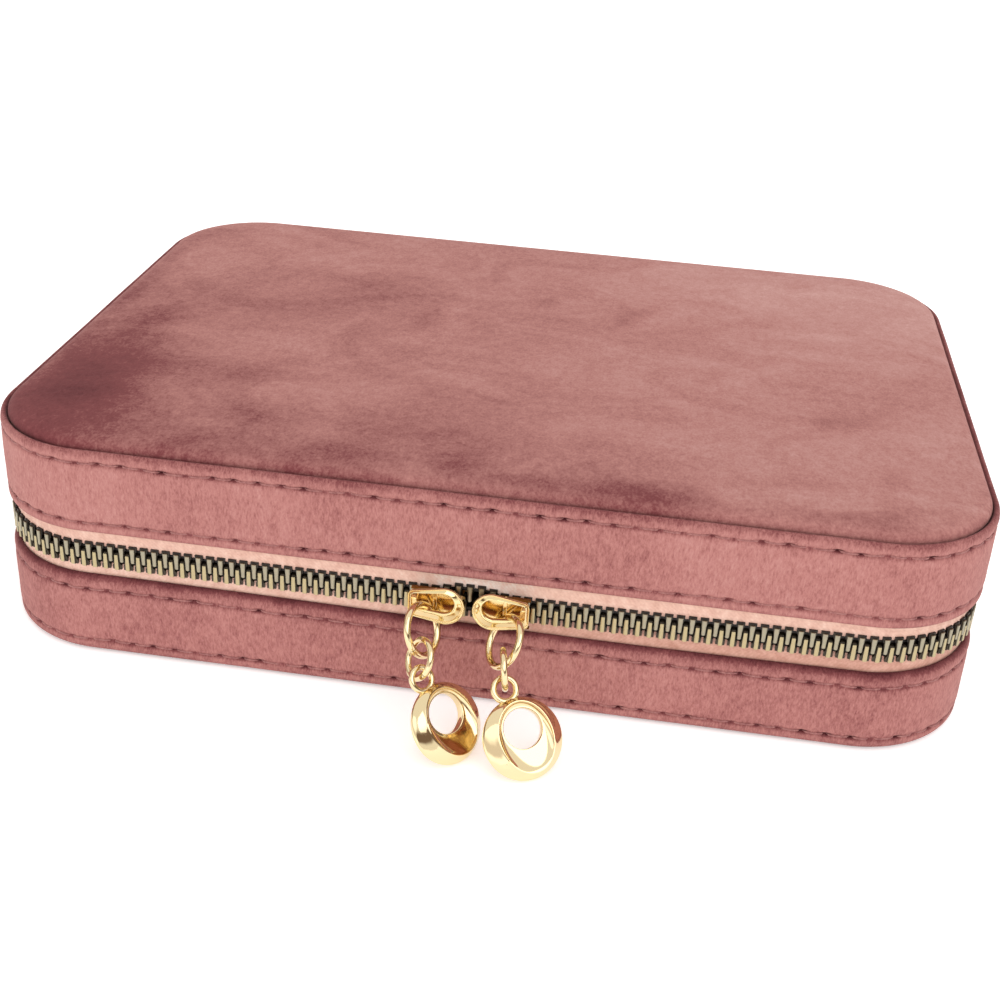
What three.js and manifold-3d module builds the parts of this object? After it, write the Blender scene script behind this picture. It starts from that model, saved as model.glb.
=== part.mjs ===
// Zip-round jewelry box with rounded corners, in millimetres, Z up.
// The origin is on the table under the middle of the case. X runs along the length, and Y runs from the
// front, where the sliders and pulls are, to the hinge spine at the back.

import * as THREE from "three";
import { mergeVertices } from "three/addons/utils/BufferGeometryUtils.js";
import Module from "manifold-3d";

const wasm = await Module();
wasm.setup();

// Case
const caseLength = 170;
const caseWidth = 124;
const cornerRadius = 20;
const zipLine = 19.9;
const zipOpening = 8.4;
const crown = 1.4;
const crownRunShare = 0.9;
const cornerSteps = 6;

// Clearance between neighbouring pieces, and the overrun of a cut
const fit = 0.3;
const overrun = 1;

// Wall, from the outside in: velvet skin, zipper tape, board, lining
const skinThickness = 1;
const tapeThickness = 0.6;
const boardThickness = 2;
const liningThickness = 0.8;
const boardReveal = 1.1;

// Bottom and lid
const bottomCoverThickness = 1;
const bottomCoverInset = 0.4;
const topCoverThickness = 1;
const foamThickness = 1.7;

// Zipper
const toothPitch = 1.92;
const toothWidth = 0.62;
const toothDepth = 2.4;
const chainHalfWidth = 2.3;
const toothPast = 0.9;
const rootPast = 1.2;
const tapeReach = 12;
const stopLength = 1.6;
const rowFlare = 1.7;
const flareSteps = 6;

// Hinge spine, between the ends of the two rounded back corners
const spineMargin = 7;

// Sliders: the noses face each other and the tails hold the closed chain
const mouthCentre = 1.3;
const mouthGap = 1.2;
const sliderLength = 9.4;
const noseWidth = 6.8;
const tailWidth = 6;
const plateThickness = 0.9;
const slotHalf = 0.6;
const flangeThickness = 0.7;
const flangeLength = 4.2;
const postWidth = 1;
const postLength = 1.6;
const postFromNose = 0.8;
const bailThickness = 0.9;
const bailRim = 0.9;
const bailGap = 1.8;
const bailInset = 0.3;
const bailFoot = 1.2;
const bailFootWidth = 1.8;
const sliderSteps = 8;

// Pull rings and charm
const largeRingRadius = 4.15;
const largeRingWire = 0.6;
const smallRingRadius = 3.1;
const smallRingWire = 0.55;
const ringSteps = 24;
const wireSteps = 6;
const charmRadius = 6.6;
const crestHalfWidth = 4.45;
const crestHalfLength = 5.75;
const crestAcross = 0.3;
const crestOffset = 0.15;
const holeRadius = 3.2;
const holeAcross = 0.42;
const holeOffset = 1.5;
const charmThickness = 3.2;
const holeDepth = 1.4;
const charmSteps = 28;
const loopRadius = 1.9;
const loopWire = 0.5;
const loopReach = 8.2;
const loopSteps = 16;

// Where the links of each pull lie: centre, as the distance to the right, the distance in front of the
// case and the height, compass angle of the axis from the front, and its tilt upwards
const degrees = Math.PI / 180;
const leftPull = {
  largeRing: { at: [-5.64, 5.6, 16.97], turn: 70.7, tilt: 22 },
  smallRing: { at: [-5.11, 10.39, 14.6], turn: 126.4, tilt: -24.6 },
  charm: { at: [0.3, 14.61, 5.84], turn: 51.2, tilt: 35.2, lean: 9.6 },
};
const rightPull = {
  largeRing: { at: [7.82, 5.43, 16.56], turn: 118.6, tilt: -29.2 },
  smallRing: { at: [8.52, 9.58, 14.18], turn: 99.7, tilt: 5.6 },
  charm: { at: [12.8, 15.57, 5.56], turn: 26.8, tilt: 39.2, lean: 11.3 },
};

// Inside of the base
const rollCount = 6;
const rollLength = 56;
const rollHeight = 12.6;
const rollGap = 1;
const rollSteps = 8;
const rollEndMargin = 5;
const rollSideMargin = 4.6;
const dividerThickness = 2.4;
const dividerHeight = 10.4;
const dividerFromRolls = 2;
const crossDividerPlace = 10;
const shortDividerPlace = 36;

// Inside of the lid
const mirrorLength = 118;
const mirrorWidth = 76;
const mirrorCorner = 8;
const mirrorThickness = 0.9;
const frameWidth = 5;
const frameThickness = 1.4;

// Finishes
const velvet = { color: 0xb07470, roughness: 0.95, metalness: 0 };
const suede = { color: 0xc79a92, roughness: 0.95, metalness: 0 };
const board = { color: 0xb9a88f, roughness: 0.9, metalness: 0 };
const foam = { color: 0xe9e2d0, roughness: 1, metalness: 0 };
const tape = { color: 0xe8baaa, roughness: 0.85, metalness: 0 };
const antiqueBrass = { color: 0xa5936f, roughness: 0.4, metalness: 1 };
const gold = { color: 0xe6bb62, roughness: 0.18, metalness: 1 };
const mirrorGlass = { color: 0xd8dde0, roughness: 0.03, metalness: 1 };

// Worked out from the sizes above
const baseTop = zipLine - zipOpening / 2;
const lidBottom = zipLine + zipOpening / 2;
const seamHeight = 2 * zipLine;
const tapeInset = skinThickness + fit;
const boardInset = tapeInset + tapeThickness + fit;
const liningInset = boardInset + boardThickness + fit;
const roomInset = liningInset + liningThickness;
const floorBoardTop = bottomCoverThickness + boardThickness;
const floor = floorBoardTop + liningThickness;
const coverUnderside = seamHeight - topCoverThickness;
const foamTop = coverUnderside - fit;
const foamUnderside = foamTop - foamThickness;
const topBoardUnderside = foamUnderside - boardThickness;
const ceiling = topBoardUnderside - liningThickness;
const frontFace = -caseWidth / 2;
const tapeMiddle = frontFace + tapeInset + tapeThickness / 2;
const tapeEdge = chainHalfWidth + fit;
const spineHalfLength = caseLength / 2 - cornerRadius - spineMargin;
const stopStart = spineHalfLength + fit;
const chainEnd = stopStart + stopLength + fit;
const flareReach = mouthGap / 2 + sliderLength - flangeLength;
const flareFull = mouthGap / 2 + postFromNose + postLength;
const roomHalfLength = caseLength / 2 - roomInset;
const roomHalfWidth = caseWidth / 2 - roomInset;

const box = new THREE.Group();

function addPiece(name, geometry, finish) {
  const mesh = new THREE.Mesh(geometry, new THREE.MeshStandardMaterial(finish));
  mesh.name = name;
  box.add(mesh);
  return mesh;
}

// A rounded rectangle, counter-clockwise, drawn in from the outline of the case by an inset
function roundedPoints(length, width, radius, steps = cornerSteps) {
  const points = [];
  const corners = [[1, -1, -90], [1, 1, 0], [-1, 1, 90], [-1, -1, 180]];
  for (const [signX, signY, start] of corners) {
    for (let step = 0; step <= steps; step++) {
      const angle = (start + (90 * step) / steps) * degrees;
      const x = signX * (length / 2 - radius) + radius * Math.cos(angle);
      const y = signY * (width / 2 - radius) + radius * Math.sin(angle);
      points.push(new THREE.Vector2(x, y));
    }
  }
  return points;
}

function casePoints(inset) {
  return roundedPoints(caseLength - 2 * inset, caseWidth - 2 * inset, cornerRadius - inset);
}

function extrudeUp(shape, low, high) {
  const geometry = new THREE.ExtrudeGeometry(shape, { depth: high - low, bevelEnabled: false });
  geometry.translate(0, 0, low);
  return geometry;
}

function casePlate(inset, low, high) {
  return extrudeUp(new THREE.Shape(casePoints(inset)), low, high);
}

function caseRing(inset, thickness, low, high) {
  const shape = new THREE.Shape(casePoints(inset));
  shape.holes.push(new THREE.Path(casePoints(inset + thickness).reverse()));
  return extrudeUp(shape, low, high);
}

// A closed surface from equal rings of points, joined in order, with the last ring joined to the first
// or each end filled from its middle
function surfaceFromRings(rings, closedLoop) {
  const count = rings[0].length;
  const positions = rings.flat(2);
  const faces = [];
  const joins = closedLoop ? rings.length : rings.length - 1;
  for (let ring = 0; ring < joins; ring++) {
    const next = (ring + 1) % rings.length;
    for (let point = 0; point < count; point++) {
      const after = (point + 1) % count;
      const a = ring * count + point;
      const b = ring * count + after;
      const c = next * count + after;
      const d = next * count + point;
      faces.push(a, b, c, a, c, d);
    }
  }
  if (!closedLoop) {
    const last = (rings.length - 1) * count;
    const middles = [rings[0], rings[rings.length - 1]].map((ring) =>
      [0, 1, 2].map((axis) => ring.reduce((sum, point) => sum + point[axis], 0) / count));
    const first = positions.length / 3;
    positions.push(...middles.flat());
    for (let point = 0; point < count; point++) {
      const after = (point + 1) % count;
      faces.push(first, after, point);
      faces.push(first + 1, last + point, last + after);
    }
  }
  const geometry = new THREE.BufferGeometry();
  geometry.setAttribute("position", new THREE.Float32BufferAttribute(positions, 3));
  geometry.setIndex(faces);
  return geometry;
}

// A padded slab: flat or crowned below, crowned above, with its edge at a given inset
function crownedSlab(inset, low, high, lowCrown, highCrown) {
  const runShares = [0, 0.12, 0.35, 0.7, 1];
  const lift = (share) => 1 - (1 - share) ** 2;
  const ringAt = (share, level, height) =>
    casePoints(inset + share * crownRunShare * (cornerRadius - inset)).map((point) =>
      [point.x, point.y, level + height * lift(share)]);
  const under = [...runShares].reverse().map((share) => ringAt(share, low, lowCrown));
  const over = runShares.map((share) => ringAt(share, high, highCrown));
  return surfaceFromRings([...under, ...over], false);
}

function toSolid(geometry) {
  const bare = geometry.clone();
  bare.deleteAttribute("normal");
  bare.deleteAttribute("uv");
  const merged = mergeVertices(bare);
  const vertProperties = new Float32Array(merged.attributes.position.array);
  const triVerts = new Uint32Array(merged.index.array);
  return new wasm.Manifold(new wasm.Mesh({ numProp: 3, vertProperties, triVerts }));
}

function toGeometry(solid) {
  const mesh = solid.getMesh();
  const geometry = new THREE.BufferGeometry();
  geometry.setAttribute("position", new THREE.BufferAttribute(mesh.vertProperties, 3));
  geometry.setIndex(new THREE.BufferAttribute(mesh.triVerts, 1));
  return geometry;
}

function block(lowX, highX, lowY, highY, lowZ, highZ) {
  const geometry = new THREE.BoxGeometry(highX - lowX, highY - lowY, highZ - lowZ);
  geometry.translate((lowX + highX) / 2, (lowY + highY) / 2, (lowZ + highZ) / 2);
  return geometry;
}

// Base shell
function addBaseShell() {
  addPiece("bottom_cover", casePlate(bottomCoverInset, 0, bottomCoverThickness), velvet);
  addPiece("base_side_band", caseRing(0, skinThickness, bottomCoverThickness, baseTop), velvet);
  addPiece("base_floor_board", casePlate(tapeInset, bottomCoverThickness, floorBoardTop), board);
  const frameTop = baseTop - boardReveal;
  addPiece("base_wall_frame", caseRing(boardInset, boardThickness, floorBoardTop, frameTop), board);
  addPiece("base_floor_lining", casePlate(liningInset, floorBoardTop, floor), suede);
  addPiece("base_inner_lining", caseRing(liningInset, liningThickness, floor, baseTop), suede);
}

// Lid shell
function addLidShell() {
  const cover = crownedSlab(0, coverUnderside, seamHeight, crown, crown);
  addPiece("lid_top_cover", cover, velvet);
  addPiece("lid_side_band", caseRing(0, skinThickness, lidBottom, coverUnderside), velvet);
  addPiece("lid_foam_pad", crownedSlab(tapeInset, foamUnderside, foamTop, 0, crown), foam);
  addPiece("lid_top_board", casePlate(tapeInset, topBoardUnderside, foamUnderside), board);
  const frameLow = lidBottom + boardReveal;
  addPiece("lid_wall_frame", caseRing(boardInset, boardThickness, frameLow, topBoardUnderside), board);
  addPiece("lid_lining_panel", casePlate(liningInset, ceiling, topBoardUnderside), suede);
  addPiece("lid_inner_lining", caseRing(liningInset, liningThickness, lidBottom, ceiling), suede);
}

// Hinge spine: a velvet strip that closes the zipper opening along the back
function addHingeSpine() {
  const back = caseWidth / 2;
  const strip = block(-spineHalfLength, spineHalfLength, back - skinThickness, back, baseTop, lidBottom);
  addPiece("hinge_spine", strip, velvet);
}

// How far the rows of teeth part inside the sliders and at the mouth between their noses
function flareAt(x) {
  const share = (flareReach - Math.abs(x - mouthCentre)) / (flareReach - flareFull);
  const held = Math.min(Math.max(share, 0), 1);
  return rowFlare * held * held * (3 - 2 * held);
}

// Places along the front where the edge of a flared row takes its shape
function flarePlaces() {
  const places = [];
  for (let step = 0; step <= flareSteps; step++) {
    places.push(mouthCentre - flareReach + ((flareReach - flareFull) * step) / flareSteps);
  }
  return [...places, ...places.map((x) => 2 * mouthCentre - x).reverse()];
}

// The chain's route at mid thickness, seen from above: from the back left, round the front, to the back
// right, with each corner in the same facets as the tape
function chainRoute() {
  const inset = tapeInset + tapeThickness / 2;
  const outline = casePoints(inset);
  const perCorner = cornerSteps + 1;
  const [frontRight, backRight, backLeft, frontLeft] = [0, 1, 2, 3].map((corner) =>
    outline.slice(corner * perCorner, (corner + 1) * perCorner));
  const back = caseWidth / 2 - inset;
  return [new THREE.Vector2(-chainEnd, back), ...backLeft, ...frontLeft, ...frontRight,
    ...backRight, new THREE.Vector2(chainEnd, back)];
}

// One row of teeth, fused along its root. Teeth stand every pitch along the route, and the other row's
// teeth stand half a pitch further on.
function teethRow(side, phase) {
  const route = chainRoute();
  const knots = [0];
  for (let leg = 1; leg < route.length; leg++) {
    knots.push(knots[leg - 1] + route[leg].distanceTo(route[leg - 1]));
  }
  const total = knots[knots.length - 1];
  const count = Math.floor(total / toothPitch - 1);
  const lead = (total - (count - 1) * toothPitch) / 2;
  const tips = [];
  for (let tooth = 0; tooth < count; tooth++) {
    const middle = lead + (tooth + phase) * toothPitch;
    tips.push([middle - toothWidth / 2, middle + toothWidth / 2]);
  }
  const normals = route.map((point, index) => {
    const before = route[Math.max(index - 1, 0)];
    const after = route[Math.min(index + 1, route.length - 1)];
    const along = after.clone().sub(before).normalize();
    return new THREE.Vector2(-along.y, along.x);
  });
  const positions = [];
  const faces = [];
  const place = (leg, s, across, level) => {
    const share = (s - knots[leg]) / (knots[leg + 1] - knots[leg]);
    const at = route[leg].clone().lerp(route[leg + 1], share);
    const normal = normals[leg].clone().lerp(normals[leg + 1], share);
    const flare = at.y < 0 ? flareAt(at.x) * (Math.abs(at.y - tapeMiddle) < fit ? 1 : 0) : 0;
    at.addScaledVector(normal, across);
    positions.push(at.x, at.y, zipLine + side * (level + flare));
    return positions.length / 3 - 1;
  };
  const isTip = (s) => tips.some(([low, high]) => s > low && s < high);
  const quad = (a, b, c, d) => {
    if (side > 0) {
      faces.push(a, b, c, a, c, d);
    } else {
      faces.push(a, c, b, a, d, c);
    }
  };
  for (let leg = 0; leg < route.length - 1; leg++) {
    const [start, end] = [knots[leg], knots[leg + 1]];
    const inner = [[start, isTip(start) ? -toothPast : rootPast]];
    for (const [low, high] of tips) {
      if (low > start && low < end) {
        inner.push([low, rootPast], [low, -toothPast]);
      }
      if (high > start && high < end) {
        inner.push([high, -toothPast], [high, rootPast]);
      }
    }
    inner.push([end, isTip(end) ? -toothPast : rootPast]);
    const outer = [[start, chainHalfWidth]];
    const frontRun = Math.abs(route[leg].y - tapeMiddle) < fit
      && Math.abs(route[leg + 1].y - tapeMiddle) < fit;
    if (frontRun) {
      for (const x of flarePlaces()) {
        outer.push([start + x - route[leg].x, chainHalfWidth]);
      }
    }
    outer.push([end, chainHalfWidth]);
    const loop = [...inner, ...outer.reverse()];
    const half = toothDepth / 2;
    const near = loop.map(([s, level]) => place(leg, s, -half, level));
    const far = loop.map(([s, level]) => place(leg, s, half, level));
    const flat = loop.map(([s, level]) => {
      const x = route[leg].x + (s - start);
      return new THREE.Vector2(s, level + (frontRun ? flareAt(x) : 0));
    });
    for (const [a, b, c] of THREE.ShapeUtils.triangulateShape(flat, [])) {
      if (side > 0) {
        faces.push(near[a], near[b], near[c], far[a], far[c], far[b]);
      } else {
        faces.push(near[a], near[c], near[b], far[a], far[b], far[c]);
      }
    }
    for (let edge = 0; edge < loop.length; edge++) {
      const after = (edge + 1) % loop.length;
      const betweenLegs = edge === inner.length - 1 || edge === loop.length - 1;
      const atEnd = (edge === inner.length - 1 && leg === route.length - 2)
        || (edge === loop.length - 1 && leg === 0);
      if (!betweenLegs || atEnd) {
        quad(near[edge], far[edge], far[after], near[after]);
      }
    }
  }
  const geometry = new THREE.BufferGeometry();
  geometry.setAttribute("position", new THREE.Float32BufferAttribute(positions, 3));
  geometry.setIndex(faces);
  return mergeVertices(geometry);
}

// Tape: a ring cut away along the hinge spine, and drawn back where the rows part in the sliders. It comes
// in three lengths that meet where the front run ends: the front, and the left and right ones that go
// round the corners.
function zipperTape(side) {
  const near = zipLine + side * tapeEdge;
  const far = zipLine + side * (tapeEdge + tapeReach);
  const ring = caseRing(tapeInset, tapeThickness, Math.min(near, far), Math.max(near, far));
  const back = caseWidth / 2;
  const spineCut = block(-chainEnd, chainEnd, 0, back, 0, 2 * zipLine);
  const edge = flarePlaces().map((x) => new THREE.Vector2(x, near + side * flareAt(x)));
  edge.unshift(new THREE.Vector2(edge[0].x, near - side * overrun));
  edge.push(new THREE.Vector2(edge[edge.length - 1].x, near - side * overrun));
  const notch = new THREE.ExtrudeGeometry(new THREE.Shape(edge), { depth: back, bevelEnabled: false });
  notch.rotateX(Math.PI / 2);
  const whole = toSolid(ring).subtract(toSolid(spineCut)).subtract(toSolid(notch));
  const frontEnd = caseLength / 2 - cornerRadius;
  const front = toSolid(block(-frontEnd, frontEnd, -back, 0, 0, 2 * zipLine));
  const round = whole.subtract(front);
  const leftHalf = toSolid(block(-caseLength, 0, -back, back, 0, 2 * zipLine));
  return [whole.intersect(front), round.intersect(leftHalf), round.subtract(leftHalf)].map(toGeometry);
}

// End stops: one on each row at each end of the chain
function addStops() {
  const middle = caseWidth / 2 - tapeInset - tapeThickness / 2;
  const half = toothDepth / 2;
  for (const [end, signX] of [["left", -1], ["right", 1]]) {
    for (const [row, side] of [["lower", -1], ["upper", 1]]) {
      const xs = [signX * stopStart, signX * (stopStart + stopLength)];
      const zs = [zipLine + side * (fit / 2), zipLine + side * chainHalfWidth];
      const stop = block(Math.min(...xs), Math.max(...xs), middle - half, middle + half,
        Math.min(...zs), Math.max(...zs));
      addPiece(`${row}_${end}_stop`, stop, antiqueBrass);
    }
  }
}

function addZipper() {
  for (const [row, side] of [["lower", -1], ["upper", 1]]) {
    const [front, left, right] = zipperTape(side);
    addPiece(`${row}_front_tape`, front, tape);
    addPiece(`${row}_left_tape`, left, tape);
    addPiece(`${row}_right_tape`, right, tape);
  }
  addPiece("lower_zipper_teeth", teethRow(-1, 0), antiqueBrass);
  addPiece("upper_zipper_teeth", teethRow(1, 0.5), antiqueBrass);
  addStops();
}

// Outline of a slider plate in X and Z: round at the nose, square at the tail. The nose points to +X and
// its tip is at zero.
function sliderOutline(width, endWidth, length, inset) {
  const radius = width / 2 - inset;
  const points = [];
  for (let step = 0; step <= sliderSteps; step++) {
    const angle = (-90 + (180 * step) / sliderSteps) * degrees;
    points.push(new THREE.Vector2(-width / 2 + radius * Math.cos(angle), radius * Math.sin(angle)));
  }
  const half = endWidth / 2 - inset;
  points.push(new THREE.Vector2(-length + inset, half), new THREE.Vector2(-length + inset, -half));
  return points;
}

// Extrudes an outline given in X and Z from one Y to another
function extrudeAlongY(shape, fromY, toY) {
  const geometry = new THREE.ExtrudeGeometry(shape, { depth: toY - fromY, bevelEnabled: false });
  geometry.rotateX(Math.PI / 2);
  geometry.translate(0, toY, 0);
  return geometry;
}

// Slider, with its nose at X zero pointing to +X and the chain's middle at Y and Z zero: two plates, a
// post at the nose that parts the rows, flanges with slots for the tapes, and an open bail in front
function sliderSolid() {
  const inner = toothDepth / 2 + fit;
  const frontPlateNear = -inner - plateThickness;
  const plateShape = new THREE.Shape(sliderOutline(noseWidth, tailWidth, sliderLength, 0));
  let solid = toSolid(extrudeAlongY(plateShape, frontPlateNear, -inner));
  solid = solid.add(toSolid(extrudeAlongY(plateShape, inner, inner + plateThickness)));
  const post = block(-postFromNose - postLength, -postFromNose, -inner - plateThickness / 2,
    inner + plateThickness / 2, -postWidth / 2, postWidth / 2);
  solid = solid.add(toSolid(post));
  for (const side of [-1, 1]) {
    const outerEdge = side * (tailWidth / 2 + flangeThickness / 2);
    const innerEdge = outerEdge - side * flangeThickness;
    const [lowZ, highZ] = [Math.min(outerEdge, innerEdge), Math.max(outerEdge, innerEdge)];
    for (const face of [-1, 1]) {
      const ys = [face * slotHalf, face * (inner + plateThickness)];
      const flange = block(-sliderLength, -sliderLength + flangeLength, Math.min(...ys),
        Math.max(...ys), lowZ, highZ);
      solid = solid.add(toSolid(flange));
    }
  }
  const bailShape = new THREE.Shape(sliderOutline(noseWidth, tailWidth, sliderLength, bailInset));
  const hole = sliderOutline(noseWidth, tailWidth, sliderLength, bailInset + bailRim);
  bailShape.holes.push(new THREE.Path(hole.reverse()));
  const bailFar = frontPlateNear - bailGap;
  solid = solid.add(toSolid(extrudeAlongY(bailShape, bailFar - bailThickness, bailFar)));
  const footHalf = bailFootWidth / 2;
  for (const [from, to] of [[-bailInset - bailFoot, -bailInset], [-sliderLength + bailInset,
    -sliderLength + bailInset + bailFoot]]) {
    const foot = block(from, to, bailFar - bailThickness / 2, frontPlateNear + plateThickness / 2,
      -footHalf, footHalf);
    solid = solid.add(toSolid(foot));
  }
  return solid;
}

function ringGeometry(radius, wire) {
  return new THREE.TorusGeometry(radius, wire, wireSteps, ringSteps);
}

// A charm in its own frame: the disc lies in X and Y, the loop is towards +Y. Its crest is an oval
function charmSolid() {
  const oval = (halfWidth, halfLength, across, offset, level) => {
    const points = [];
    for (let step = 0; step < charmSteps; step++) {
      const angle = (2 * Math.PI * step) / charmSteps;
      points.push([across + halfWidth * Math.cos(angle), offset + halfLength * Math.sin(angle), level]);
    }
    return points;
  };
  const half = charmThickness / 2;
  const rings = [
    oval(charmRadius, charmRadius, 0, 0, 0),
    oval(crestHalfWidth, crestHalfLength, crestAcross, crestOffset, half),
    oval(holeRadius, holeRadius, holeAcross, holeOffset, holeDepth / 2),
    oval(holeRadius, holeRadius, holeAcross, holeOffset, -holeDepth / 2),
    oval(crestHalfWidth, crestHalfLength, crestAcross, crestOffset, -half),
  ];
  const loop = new THREE.TorusGeometry(loopRadius, loopWire, wireSteps, loopSteps);
  loop.translate(0, loopReach, 0);
  return toSolid(surfaceFromRings(rings, true)).add(toSolid(loop));
}

// Turns a piece from lying in X and Y so that its axis has the given compass angle and tilt
function placeLink(mesh, link) {
  mesh.rotation.order = "ZXY";
  mesh.rotation.set(Math.PI / 2 - link.tilt * degrees, 0, link.turn * degrees, "ZXY");
  if (link.lean !== undefined) {
    mesh.rotateZ(link.lean * degrees);
  }
  const [right, out, height] = link.at;
  mesh.position.set(right, frontFace - out, height);
}

function addPull(side, pull, noseX, facing) {
  const slider = addPiece(`slider_${side}`, toGeometry(sliderSolid()), gold);
  slider.position.set(noseX, tapeMiddle, zipLine);
  slider.rotation.y = facing > 0 ? 0 : Math.PI;
  const large = addPiece(`large_ring_${side}`, ringGeometry(largeRingRadius, largeRingWire), gold);
  placeLink(large, pull.largeRing);
  const small = addPiece(`small_ring_${side}`, ringGeometry(smallRingRadius, smallRingWire), gold);
  placeLink(small, pull.smallRing);
  const charm = addPiece(`charm_${side}`, toGeometry(charmSolid()), gold);
  placeLink(charm, pull.charm);
}

// Ring rolls: round-topped pads side by side, between which rings are pushed
function addRingRolls() {
  const start = -roomHalfLength + rollEndMargin;
  const usable = 2 * (roomHalfWidth - rollSideMargin);
  const pitch = (usable + rollGap) / rollCount;
  const radius = (pitch - rollGap) / 2;
  for (let roll = 0; roll < rollCount; roll++) {
    const middle = -usable / 2 + radius + roll * pitch;
    const points = [new THREE.Vector2(middle - radius, 0), new THREE.Vector2(middle + radius, 0)];
    for (let step = 0; step <= rollSteps; step++) {
      const angle = (180 * degrees * step) / rollSteps;
      const y = middle + radius * Math.cos(angle);
      points.push(new THREE.Vector2(y, rollHeight - radius + radius * Math.sin(angle)));
    }
    const shape = new THREE.Shape(points);
    const geometry = new THREE.ExtrudeGeometry(shape, { depth: rollLength, bevelEnabled: false });
    geometry.rotateX(Math.PI / 2);
    geometry.rotateZ(Math.PI / 2);
    geometry.translate(start, 0, floor);
    addPiece(`ring_roll_${roll + 1}`, geometry, suede);
  }
}

// Dividers: one along the rolls, one across the right side, one short one in front of that
function addDividers() {
  const half = dividerThickness / 2;
  const long = -roomHalfLength + rollEndMargin + rollLength + dividerFromRolls + half;
  const top = floor + dividerHeight;
  const endY = roomHalfWidth - fit;
  const endX = roomHalfLength - fit;
  addPiece("long_divider", block(long - half, long + half, -endY, endY, floor, top), suede);
  const cross = crossDividerPlace;
  const startX = long + half + fit;
  addPiece("cross_divider", block(startX, endX, cross - half, cross + half, floor, top), suede);
  const short = shortDividerPlace;
  const shortEnd = cross - half - fit;
  addPiece("short_divider", block(short - half, short + half, -endY, shortEnd, floor, top), suede);
}

// Mirror in its frame, under the lid's lining panel
function addMirror() {
  const outer = roundedPoints(mirrorLength + 2 * (frameWidth + fit), mirrorWidth + 2 * (frameWidth + fit),
    mirrorCorner + frameWidth + fit);
  const inner = roundedPoints(mirrorLength + 2 * fit, mirrorWidth + 2 * fit, mirrorCorner + fit);
  const shape = new THREE.Shape(outer);
  shape.holes.push(new THREE.Path(inner.reverse()));
  addPiece("mirror_frame", extrudeUp(shape, ceiling - frameThickness, ceiling), velvet);
  const glass = new THREE.Shape(roundedPoints(mirrorLength, mirrorWidth, mirrorCorner));
  addPiece("mirror", extrudeUp(glass, ceiling - mirrorThickness, ceiling), mirrorGlass);
}

addBaseShell();
addLidShell();
addHingeSpine();
addZipper();
addPull("left", leftPull, mouthCentre - mouthGap / 2, 1);
addPull("right", rightPull, mouthCentre + mouthGap / 2, -1);
addRingRolls();
addDividers();
addMirror();

export default box;
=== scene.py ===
"""Zip-round velvet jewelry box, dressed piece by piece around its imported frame.

Shapes are worked out in millimetres as whole numpy arrays and stored in metres. X runs to the right, Y away
from the front, and Z up from the table.
"""

import logging
import math
from dataclasses import dataclass, field
from enum import Enum
from typing import Callable, Sequence

import bpy
import numpy as np
from mathutils import Matrix, Vector


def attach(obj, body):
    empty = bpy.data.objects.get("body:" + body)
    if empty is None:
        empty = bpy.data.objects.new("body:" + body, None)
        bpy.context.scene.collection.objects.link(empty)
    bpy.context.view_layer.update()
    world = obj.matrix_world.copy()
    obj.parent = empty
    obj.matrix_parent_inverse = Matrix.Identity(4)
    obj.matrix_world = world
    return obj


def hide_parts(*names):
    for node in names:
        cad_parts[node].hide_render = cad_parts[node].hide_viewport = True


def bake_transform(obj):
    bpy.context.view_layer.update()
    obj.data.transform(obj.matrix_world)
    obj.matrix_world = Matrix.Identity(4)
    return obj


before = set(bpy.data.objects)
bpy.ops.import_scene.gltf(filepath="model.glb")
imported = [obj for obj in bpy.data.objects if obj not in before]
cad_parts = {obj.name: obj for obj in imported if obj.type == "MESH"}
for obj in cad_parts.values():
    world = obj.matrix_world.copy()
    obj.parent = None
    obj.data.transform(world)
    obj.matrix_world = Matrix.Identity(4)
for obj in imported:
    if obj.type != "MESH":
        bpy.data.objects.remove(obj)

MM = 0.001
FULL_TURN = 2 * math.pi
log = logging.getLogger("jewelry_box")

Array = np.ndarray


# Colour and nodes


def linear(code: str) -> tuple[float, float, float, float]:
    """Turns an sRGB hex colour such as "c8948c" into linear red, green, blue and alpha.

    Each channel is divided by 12.92 up to 0.04045, and above that is ((channel + 0.055) / 1.055) ** 2.4.
    """
    channels = [int(code[i : i + 2], 16) / 255 for i in (0, 2, 4)]
    values = [c / 12.92 if c <= 0.04045 else ((c + 0.055) / 1.055) ** 2.4 for c in channels]
    return (*values, 1.0)


def add_node(
    tree: bpy.types.NodeTree,
    kind: str,
    inputs: dict | None = None,
    stops: Sequence[tuple[float, str]] = (),
    **settings: object,
) -> bpy.types.Node:
    """Adds a node with its settings, its values and the links into it.

    Args:
        tree: node tree that gets the node.
        kind: Blender's name of the node type.
        inputs: socket name or number, and a value or the socket that feeds it.
        stops: places and hex colours of a colour ramp.
        settings: properties of the node itself.

    Returns:
        The new node.
    """
    node = tree.nodes.new(kind)
    for name, value in settings.items():
        setattr(node, name, value)
    for name, value in (inputs or {}).items():
        if isinstance(value, bpy.types.NodeSocket):
            tree.links.new(value, node.inputs[name])
        else:
            node.inputs[name].default_value = value
    for index, (place, code) in enumerate(stops):
        ramp = node.color_ramp.elements
        element = ramp[index] if index < 2 else ramp.new(place)
        element.position = place
        element.color = linear(code)
    return node


# Meshes


@dataclass
class Patch:
    """A surface in millimetres: points, quads (a triangle repeats its last corner), and UV per corner."""

    points: Array
    quads: Array
    uv: Array
    marks: dict[str, Array] = field(default_factory=dict)

    def turned(self, turn: Array, at: Sequence[float]) -> "Patch":
        """The same patch after a rotation matrix and a shift."""
        return Patch(self.points @ turn.T + np.asarray(at, float), self.quads, self.uv, self.marks)


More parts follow.
